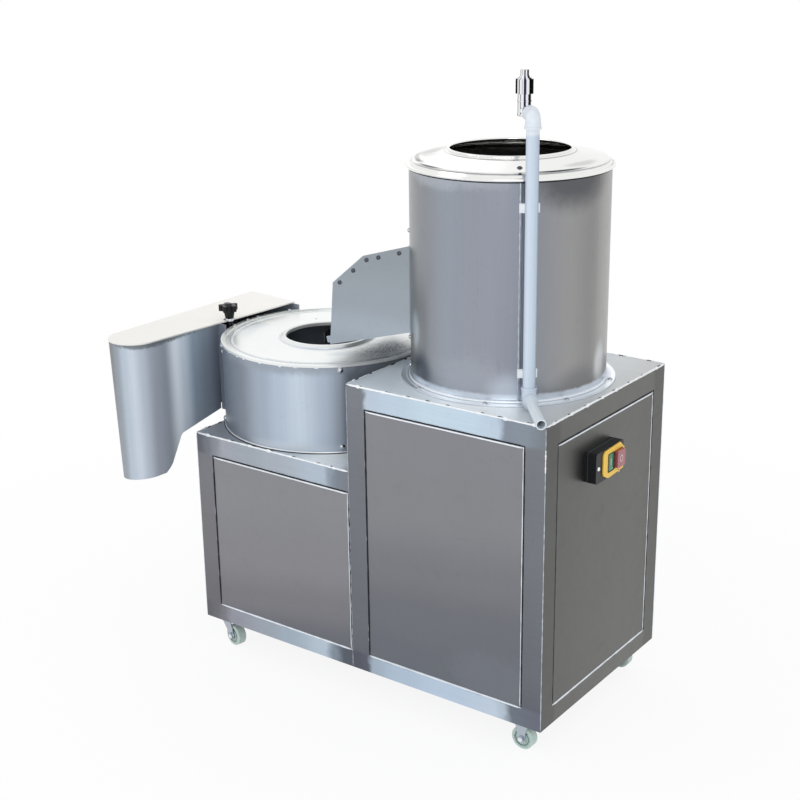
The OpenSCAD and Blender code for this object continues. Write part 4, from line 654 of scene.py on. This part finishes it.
        "on": ["peel_shaft", "slicer_shaft", "shaft_bearings"], "colour": (186, 189, 193), "grain": turned,
        "rough": (0.2, 0.34)},
    "beltRubber": {
        "on": ["drive_belts"], "colour": (26, 26, 27), "grain": cast, "rough": (0.62, 0.82), "metal": 0.0,
        "lift": 0.5},
    "bladeSteel": {
        "on": ["slicing_knife"], "colour": (205, 209, 214), "grain": turned, "rough": (0.12, 0.24)},
    "forkZinc": {
        "on": ["caster_plates"] + [f"caster_fork_{i}" for i in range(1, 5)], "colour": (176, 184, 194),
        "rough": (0.2, 0.36), "swing": 0.16},
    "wheelNylon": {
        "on": [f"caster_wheel_{i}" for i in range(1, 5)], "colour": (184, 204, 198), "grain": cast,
        "rough": (0.34, 0.5), "metal": 0.0, "swing": 0.05, "lift": 0.12,
        "shader": {"Subsurface Weight": 0.15, "Subsurface Scale": 0.005}},
}
materials = {name: makeFinish(name, f) for name, f in finishes.items()}
for name, f in finishes.items():
    for node in f.get("on", []):
        nodes[node].data.materials.clear()
        nodes[node].data.materials.append(materials[name])
print("finishes:", len(materials))


# The same grid of faces for each of several copies
def manyGrids(rows, columns, copies):
    starts = np.arange(copies)[:, None, None] * rows * columns
    return (gridFaces(rows, columns)[None] + starts).reshape(-1, 4)


# Parts of one piece, in cabinet millimetres, become one mesh in metres. A face that names a point twice
# becomes a triangle, doubles are merged and faces turned outward.
def addPiece(name, parts, finish, body="cabinet", sharp=35):
    starts = np.cumsum([0] + [len(verts) for verts, _ in parts])
    verts = np.concatenate([verts for verts, _ in parts])
    faces = np.concatenate([faces + start for (_, faces), start in zip(parts, starts)])
    mesh = bpy.data.meshes.new(name)
    mesh.from_pydata(place(verts).tolist(), [], [list(dict.fromkeys(face)) for face in faces.tolist()])
    shell = bmesh.new()
    shell.from_mesh(mesh)
    bmesh.ops.remove_doubles(shell, verts=shell.verts, dist=1e-6)
    bmesh.ops.recalc_face_normals(shell, faces=shell.faces)
    shell.to_mesh(mesh)
    shell.free()
    mesh.polygons.foreach_set("use_smooth", np.ones(len(mesh.polygons), bool))
    mesh.set_sharp_from_angle(angle=math.radians(sharp))
    mesh.materials.append(materials[finish])
    made = addObject(name, mesh)
    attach(made, body)


# At each point of a path a circle stands across the path: point + r (cos v side + sin v up)
def tubeAlong(points, radius, closed=False, up=(0, 0, 1), sides=8, squash=1.0):
    points, up = np.asarray(points, float), np.asarray(up, float)
    ahead = np.roll(points, -1, 0) - np.roll(points, 1, 0)
    if not closed:
        ahead[0], ahead[-1] = points[1] - points[0], points[-1] - points[-2]
    ahead /= np.linalg.norm(ahead, axis=1, keepdims=True)
    side = np.cross(ahead, up)
    side /= np.linalg.norm(side, axis=1, keepdims=True)
    top = np.cross(side, ahead)
    v = np.linspace(0, 2 * np.pi, sides, endpoint=False)
    radius = np.broadcast_to(radius, len(points))[:, None, None]
    ring = np.cos(v)[None, :, None] * side[:, None] + squash * np.sin(v)[None, :, None] * top[:, None]
    verts = (points[:, None] + radius * ring).reshape(-1, 3)
    faces = gridFaces(len(points), sides, closeRows=closed)
    if closed:
        return verts, faces
    last, j = len(points) * sides, np.arange(sides)
    k = (j + 1) % sides
    ends = [np.stack([np.full(sides, last), j, k, k], -1),
            np.stack([np.full(sides, last + 1), last - sides + k, last - sides + j, last - sides + j], -1)]
    return np.concatenate([verts, points[[0, -1]]]), np.concatenate([faces, *ends])


# A straight bead. Radius: the given one, swung at random along the run and drawn in towards both ends.
def bead(start, end, radius, count=12, swing=0.0, up=None):
    start, end = np.asarray(start, float), np.asarray(end, float)
    u = np.linspace(0, 1, count)
    path = start + u[:, None] * (end - start)
    thick = radius * (1 + swing * rng.uniform(-1, 1, count)) * np.clip(np.minimum(u, 1 - u) * count, 0.3, 1)
    if up is None:
        up = (1, 0, 0) if abs(end[2] - start[2]) > 1 else (0, 0, 1)
    return tubeAlong(path, thick, up=up)


# A bead all round an upright axis: a small circle carried along axis + radius (cos u, sin u)
def ringAround(axis, radius, z, thick, squash, turns=163):
    u = np.linspace(0, 2 * np.pi, turns, endpoint=False)
    return tubeAlong(radius * levelOut(u) + [*axis, z], thick, closed=True, squash=squash)


# Half-buried lens shapes: a ball's points scaled along each spot's own three directions
def lenses(places, outward, along, sizes, rows=7, columns=12):
    u = np.linspace(-np.pi / 2, np.pi / 2, rows)
    v = np.linspace(0, 2 * np.pi, columns, endpoint=False)
    ball = np.stack([np.outer(np.cos(u), np.cos(v)), np.outer(np.cos(u), np.sin(v)),
                     np.outer(np.sin(u), np.ones(columns))], -1).reshape(-1, 3)
    places = np.asarray(places, float)
    outward = np.broadcast_to(np.asarray(outward, float), places.shape)
    along = np.broadcast_to(np.asarray(along, float), places.shape)
    turn = np.stack([along, np.cross(outward, along), outward], 1)
    verts = np.einsum("nk,pk,pkm->pnm", ball, np.asarray(sizes, float), turn) + places[:, None]
    return verts.reshape(-1, 3), manyGrids(rows, columns, len(places))


# Turned heads: spot + radius (cos v side + sin v other) + height outward, for a profile of (radius, height)
def heads(places, outward, profile, columns=24):
    profile, places = np.asarray(profile, float), np.asarray(places, float)
    outward = np.broadcast_to(np.asarray(outward, float), places.shape)
    outward = outward / np.linalg.norm(outward, axis=1, keepdims=True)
    helper = np.where(np.abs(outward[:, 2:]) > 0.9, [[1.0, 0, 0]], [[0, 0, 1.0]])
    side = np.cross(helper, outward)
    side /= np.linalg.norm(side, axis=1, keepdims=True)
    other = np.cross(outward, side)
    v = np.linspace(0, 2 * np.pi, columns, endpoint=False)
    ring = np.cos(v)[None, :, None] * side[:, None] + np.sin(v)[None, :, None] * other[:, None]
    verts = places[:, None, None] + profile[None, :, 0, None, None] * ring[:, None]
    verts = verts + profile[None, :, 1, None, None] * outward[:, None, None]
    return verts.reshape(-1, 3), manyGrids(len(profile), columns, len(places))


panHead = [(0, 1.9), (1.6, 1.9), (2.9, 1.4), (3.6, 0.5), (3.7, -0.6), (0, -0.6)]
nutHead = [(0, 3.2), (2.4, 3.1), (4.0, 2.2), (4.6, 0.8), (5.6, 0.6), (5.8, -0.4), (0, -0.4)]


def scaled(profile, by):
    return [(r * by, h * by) for r, h in profile]


# A rectangle whose corners are quarter circles, as points in its own plane
def roundedLoop(width, height, radius, steps=6):
    turn = np.linspace(0, np.pi / 2, steps)
    middles = [(width - radius, height - radius), (radius, height - radius), (radius, radius),
               (width - radius, radius)]
    quarters = [np.array(middle) + radius * levelOut(turn + i * np.pi / 2)[:, :2]
                for i, middle in enumerate(middles)]
    return np.concatenate(quarters)


plateSeams = {"inset": 2, "stepInset": 1, "tackEvery": 62, "jitter": 6, "tack": (6.6, 3.4, 2.5),
              "tackDrop": 1.2, "tackSpread": (0.7, 1.25), "bead": 2.1, "beadDrop": 1.2, "beadEvery": 7,
              "beadSwing": 0.16, "cut": 1.4, "cutFrom": 4, "cutLength": (7, 17), "cutIn": 0.7,
              "cutLift": 0.15, "cutSwing": 0.3}


# Edges of the two top plates: start, end and the way the edge faces
def plateEdges(inset, stepInset):
    low, tall, split = cabinet["low"], cabinet["tall"], cabinet["step"]
    right, deep = cabinet["length"], cabinet["depth"]
    lowEnd, tallStart, tallEnd, deepEnd = split - stepInset, split + inset, right - inset, deep - inset
    return [((inset, 0, low), (lowEnd, 0, low), (0, -1, 0)),
            ((tallStart, 0, tall), (tallEnd, 0, tall), (0, -1, 0)),
            ((right, inset, tall), (right, deepEnd, tall), (1, 0, 0)),
            ((inset, deep, low), (lowEnd, deep, low), (0, 1, 0)),
            ((tallStart, deep, tall), (tallEnd, deep, tall), (0, 1, 0)),
            ((0, inset, low), (0, deepEnd, low), (-1, 0, 0)),
            ((split, inset, tall), (split, deepEnd, tall), (-1, 0, 0))]


# Beads along the plates' edges, with ground tacks on them and a dark cut beside each tack
def addPlateSeams(s):
    tacks, cuts, beads = [], [], []
    for edge in plateEdges(s["inset"], s["stepInset"]):
        start, end, facing = (np.array(v, float) for v in edge)
        run = np.linalg.norm(end - start)
        along = (end - start) / run
        count = max(int(round(run / s["tackEvery"])), 2)
        steps = (np.arange(count) + 0.5) / count * run + rng.uniform(-s["jitter"], s["jitter"], count)
        spots = start + steps[:, None] * along + [0, 0, -s["tackDrop"]]
        sizes = np.array(s["tack"]) * rng.uniform(*s["tackSpread"], (count, 3))
        tacks.append(lenses(spots, facing, along, sizes))
        lifted = -s["cutIn"] * facing + [0, 0, s["cutLift"]]
        for step in steps:
            side = rng.choice([-1, 1])
            reach = s["cutFrom"] + rng.uniform(*s["cutLength"])
            a = start + (step + side * s["cutFrom"]) * along
            b = start + np.clip(step + side * reach, s["inset"], run - s["inset"]) * along
            cuts.append(bead(a + lifted, b + lifted, s["cut"], count=6, swing=s["cutSwing"]))
        line = start + [0, 0, -s["beadDrop"]]
        count = int(run / s["beadEvery"])
        beads.append(bead(line, line + run * along, s["bead"], count=count, swing=s["beadSwing"]))
    addPiece("plateTacks", tacks, "weldBrightAndGlint")
    addPiece("plateCuts", cuts, "gapDark")
    addPiece("plateBeads", beads, "weldBrightAndGlint")


# The gap beads are dark joints; the head and foot beads and the thin side beads are painted highlights,
# bright lines where the panel edges catch the light
windowSeams = {"pitch": 12, "gap": 1.8, "gapIn": 1.2, "gapSwing": 0.1, "sideSwing": 0.15, "lip": 2.1,
               "lipIn": 5.0, "lipShort": 3, "sill": 1.9, "sillLift": 0.4, "sillSwing": 0.2, "footLift": 2,
               "rightShare": 0.75, "thin": 1.1, "thinIn": 4.0, "thinOut": 0.5, "thinShare": 0.6,
               "thinShort": 3, "thinSwing": 0.3}


# Panel windows: the way each faces, its level, and its two sides and its head
def windows():
    strip, rim = cabinet["strip"], cabinet["recess"]
    lowHead, tallHead = (cabinet[name] - cabinet["plateTurn"] - strip for name in ("low", "tall"))
    split, right, deep = cabinet["step"], cabinet["length"], cabinet["depth"]
    low, tall = (strip, split, lowHead), (split + strip, right - strip, tallHead)
    deepEnd, rear = deep - strip, deep - rim
    return [("front", rim, *low), ("front", rim, *tall), ("right", right - rim, strip, deepEnd, tallHead),
            ("left", rim, strip, deepEnd, lowHead), ("rear", rear, *low), ("rear", rear, *tall)]


# Dark gaps round the panels, bright painted highlight lines at head and foot, and thin painted glints down
# the sides
def addWindowSeams(s):
    gaps, lips, thins = [], [], []
    foot = cabinet["foot"]
    for facing, level, left, right, head in windows():
        flat = facing in ("front", "rear")
        up = (0, 1, 0) if flat else (1, 0, 0)
        share = s["rightShare"] if facing == "right" else 1.0
        wide, tall = int((right - left) / s["pitch"]), int((head - foot) / s["pitch"])
        low = foot + s["footLift"]

        def across(z, short=0.0):
            ends = (left + short, right - short)
            return [(x, level, z) if flat else (level, x, z) for x in ends]

        def down(x, top):
            return [(x, level, z) if flat else (level, x, z) for z in (low, top)]

        line = across(head - s["lipIn"], s["lipShort"])
        gaps.append(bead(*across(head - s["gapIn"]), s["gap"], count=wide, swing=s["gapSwing"]))
        lips.append(bead(*line, s["lip"], count=wide, swing=s["gapSwing"]))
        lips.append(bead(*across(foot + s["sillLift"]), s["sill"], count=wide, swing=s["sillSwing"]))
        for edge, inward, thinAt, thin in ((left, 1, left - s["thinOut"], s["thin"] * s["thinShare"]),
                                           (right, -1, right - s["thinIn"], s["thin"])):
            line = down(edge + inward * s["gapIn"], head)
            gaps.append(bead(*line, s["gap"] * share, count=tall, swing=s["sideSwing"], up=up))
            line = down(thinAt, head - s["thinShort"])
            thins.append(bead(*line, thin * share, count=tall, swing=s["thinSwing"], up=up))
    addPiece("panelGaps", gaps, "gapDark")
    addPiece("panelHighlights", lips, "edgeLight")
    addPiece("panelGlints", thins, "edgeLight")


cornerWeld = {"foot": 3, "drop": 5, "radius": 0.7, "count": 90, "swing": 0.5,
              "glintFrom": (910, 0, 556), "glintTo": (910, 0, 604), "glintRadius": 1.3, "glintCount": 14}


# Ground weld lines down the frame's corners, their width swinging along the height, and a painted glint: a
# short bright bead high on the front right corner
def addCornerWelds(s):
    right, deep, split = cabinet["length"], cabinet["depth"], cabinet["step"]
    lowTop, tallTop = cabinet["low"] - s["drop"], cabinet["tall"] - s["drop"]
    corners = [(right, 0, tallTop), (right, deep, tallTop), (0, 0, lowTop), (0, deep, lowTop),
               (split, 0, tallTop)]
    lines = [bead((x, y, s["foot"]), (x, y, top), s["radius"], count=s["count"], swing=s["swing"])
             for x, y, top in corners]
    addPiece("cornerWelds", lines, "weldSoft")
    glint = bead(s["glintFrom"], s["glintTo"], s["glintRadius"], count=s["glintCount"], swing=s["swing"])
    addPiece("cornerGlint", [glint], "weldBrightAndGlint")


addPlateSeams(plateSeams)
addWindowSeams(windowSeams)
addCornerWelds(cornerWeld)
print("cabinet seams done")

drumSeams = {"span": (656, 1084), "steps": 140, "flat": 0.7, "wander": ((0.3, 2.1), (0.25, 5.3)), "calm": 500,
             "lines": {"drumSeam": {"turn": -52.4, "thick": 1.8, "ripple": 0.4, "finish": "weldSoft"},
                       "drumSeamGap": {"turn": -51.3, "thick": 0.5, "ripple": 0.0, "finish": "boltDark"}},
             "ripplePitch": 3.7}


# The upright seam and its gap. Turn plus two small sines of the height, thickness plus another one.
def addDrumSeams(s):
    z = np.linspace(*s["span"], s["steps"])
    wander = sum(size * np.sin(z / pitch) for size, pitch in s["wander"]) / s["calm"]
    for name, line in s["lines"].items():
        turn = math.radians(line["turn"])
        path = peelRadius * levelOut(turn + wander) + np.column_stack([np.full((len(z), 2), peelAxis), z])
        thick = line["thick"] + line["ripple"] * np.sin(z / s["ripplePitch"])
        seam = tubeAlong(path, thick, up=(math.cos(turn), math.sin(turn), 0), squash=s["flat"])
        addPiece(name, [seam], line["finish"])


# Rings round the drums by piece: finish, axis, and for each ring its radius, level, thickness and flatness
deck, step = cabinet["tall"], cabinet["low"]
drumRings = {
    "drumFootWeld": ("weldBrightAndGlint", peelAxis, [(peelRadius + 1.4, deck + 4.6, 2.4, 1.0),
                                              (peelRadius + 9, deck + 3.1, 0.9, 0.6)]),
    "lidLine": ("gapDark", peelAxis, [(peelRadius + 0.6, 1083.4, 1.0, 1.0)]),
    "flangeLine": ("weldSoft", peelAxis, [(peelRadius + 19.3, deck + 0.7, 0.9, 1.0)]),
    "slicerFootWeld": ("weldBrightAndGlint", sliceAxis, [(sliceRadius + 1.2, step + 2.4, 1.7, 1.0)]),
    "slicerFootGap": ("gapDark", sliceAxis, [(sliceRadius + 3.2, step + 0.5, 1.1, 0.7)]),
}
rimTacks = {"count": 9, "span": (-128, -48), "jitter": 3, "out": 0.6, "drop": 0.4, "size": (4.5, 1.2, 0.7),
            "spread": (0.7, 1.3)}


def addDrumRings(rings):
    for name, (finish, axis, places) in rings.items():
        addPiece(name, [ringAround(axis, *p) for p in places], finish)


# Small tacks under the slicing lid's rim
def addRimTacks(s):
    count = s["count"]
    turn = np.radians(np.linspace(*s["span"], count) + rng.uniform(-s["jitter"], s["jitter"], count))
    out = levelOut(turn)
    spots = out * (sliceRadius + s["out"]) + [*sliceAxis, nodeBox("slicer_lid")[0][2] - s["drop"]]
    sizes = np.array(s["size"]) * rng.uniform(*s["spread"], (count, 3))
    addPiece("rimTacks", [lenses(spots, out, np.cross((0, 0, 1), out), sizes)], "weldBrightAndGlint")


addDrumSeams(drumSeams)
addDrumRings(drumRings)
addRimTacks(rimTacks)
print("drum seams done")

lidScrews = {"slicer": (73.5, 345.3), "slicerLift": 2.2, "small": 0.7, "peelTurn": -52.0, "peelOut": 170.0,
             "peelLift": 30, "peelEdge": 193, "slope": 0.21, "rimTurns": [186, 175, 155], "rimOut": 235.0,
             "wallTurn": 224, "wallLevel": 630, "wallSink": 0.2}


def addLidScrews(s):
    top = nodeBox("slicer_lid")[0][2] + s["slicerLift"]
    up = (0, 0, 1)
    rim = s["rimOut"] * levelOut(np.radians(s["rimTurns"])) + [*sliceAxis, top]
    out = levelOut(np.radians([s["wallTurn"]]))
    wall = out * (sliceRadius - s["wallSink"]) + [*sliceAxis, s["wallLevel"]]
    screws = [heads(rim, up, scaled(nutHead, s["small"])), heads(wall, out, panHead)]
    addPiece("rimScrews", screws, "weldBrightAndGlint")
    screw = heads([(*s["slicer"], top)], up, scaled(panHead, s["small"]))
    addPiece("slicerLidScrew", [screw], "boltDark")
    out = levelOut(math.radians(s["peelTurn"]))
    rise = s["peelLift"] + (s["peelEdge"] - s["peelOut"]) * s["slope"]
    spot = s["peelOut"] * out + [*peelAxis, nodeBox("peel_lid")[0][2] + rise]
    addPiece("peelLidScrew", [heads([spot], s["slope"] * out + [0, 0, 1], nutHead)], "boltDark")


knobStem = {"star": 17, "sleeve": [(8.5, 0.5), (12.5, 0.5), (12, -6), (9.6, -18), (8.5, -18), (8.5, 0.5)],
            "collar": [(8.6, -18), (9.4, -18), (9.9, -18.6), (9.9, -23.4), (9.4, -24), (8.6, -24),
                       (8.6, -18)]}


# Tapered sleeve under the star and the bright collar below it
def addKnobStem(s):
    low, high = nodeBox("star_knob")
    spot = [(*(low + high)[:2] / 2, high[2] - s["star"])]
    addPiece("knobSleeve", [heads(spot, (0, 0, 1), s["sleeve"])], "blackPlastic", "clamp_knob")
    addPiece("knobCollar", [heads(spot, (0, 0, 1), s["collar"])], "weldBrightAndGlint", "clamp_knob")


switch = {"face": 937.0, "plateOut": 2.5, "boxScrew": (159.0, 521.0), "boxScrewScale": 1.15,
          "plateScrew": (238.4, 493.3), "plateScrewScale": 0.9, "seam": 918.0, "seamOut": 0.3,
          "seamCorner": 4.0, "seamBead": 0.5, "keysAt": (193.5, 503.0), "keysSize": (24.0, 38.0),
          "keysCorner": 1.5, "keysLift": 0.2, "keysBead": 0.8, "startMark": (205.5, 522.0), "markReach": 7,
          "markBead": 0.9, "markFlat": 0.5}


# A closed bead in the plane x: a rounded rectangle from its lower left corner
def boxLoop(x, corner, size, radius, thick):
    loop = roundedLoop(*size, radius) + corner
    return tubeAlong(np.column_stack([np.full(len(loop), x), loop]), thick, closed=True, up=(1, 0, 0))


def addSwitchDetails(s):
    out = s["face"] + s["plateOut"]
    facing = (1, 0, 0)
    screw = heads([(s["face"], *s["boxScrew"])], facing, scaled(panHead, s["boxScrewScale"]))
    addPiece("boxScrew", [screw], "clampWhite")
    screw = heads([(out, *s["plateScrew"])], facing, scaled(panHead, s["plateScrewScale"]))
    addPiece("plateScrew", [screw], "brass")
    low, high = (corner[1:] for corner in nodeBox("switch_box"))
    size = high - low + 2 * s["seamOut"]
    seam = boxLoop(s["seam"], low - s["seamOut"], size, s["seamCorner"], s["seamBead"])
    addPiece("boxSeam", [seam], "boltDark")
    gap = boxLoop(out + s["keysLift"], s["keysAt"], s["keysSize"], s["keysCorner"], s["keysBead"])
    addPiece("keyGap", [gap], "gapDark")
    y, z = s["startMark"]
    path = [(out, y, z + rise) for rise in np.linspace(-s["markReach"], s["markReach"], 5)]
    mark = tubeAlong(path, s["markBead"], up=facing, squash=s["markFlat"])
    addPiece("startMark", [mark], "markWhite", "start_key")


casters = {"reach": 18.3, "nutScale": 0.8, "steps": 32,
           "rings": {"wheelRims": {"out": 10.4, "radius": 19, "thick": 0.8, "finish": "wheelNylon"},
                     "wheelGrooves": {"out": 10.7, "radius": 15.5, "thick": 0.45, "finish": "boltDark"}}}


# Nuts on the axles, and on each wheel's sides rings square to its axle: middle + out axle + radius ring
def addCasterDetails(s):
    v = np.linspace(0, 2 * np.pi, s["steps"], endpoint=False)
    for i in range(1, 5):
        low, high = nodeBox(f"caster_wheel_{i}")
        middle = (low + high) / 2
        joint = next(j for j in frame["joints"] if j["name"] == f"wheel_roll_{i}")
        axle = np.array(joint["axis"], float)
        holder = f"swivel_{i}" if f"swivel_{i}" in frame["bodies"] else "cabinet"
        nut = scaled(nutHead, s["nutScale"])
        nuts = [heads([middle + side * s["reach"] * axle], side * axle, nut) for side in (-1, 1)]
        addPiece(f"axleNuts{i}", nuts, "weldBrightAndGlint", holder)
        ring = np.cos(v)[:, None] * np.cross(axle, (0, 0, 1)) + np.sin(v)[:, None] * np.array((0, 0, 1.0))
        for name, r in s["rings"].items():
            paths = [middle + side * r["out"] * axle + r["radius"] * ring for side in (-1, 1)]
            loops = [tubeAlong(path, r["thick"], closed=True, up=axle) for path in paths]
            addPiece(f"{name}{i}", loops, r["finish"], f"wheel_{i}")


addLidScrews(lidScrews)
addKnobStem(knobStem)
addSwitchDetails(switch)
addCasterDetails(casters)
print("small pieces done")
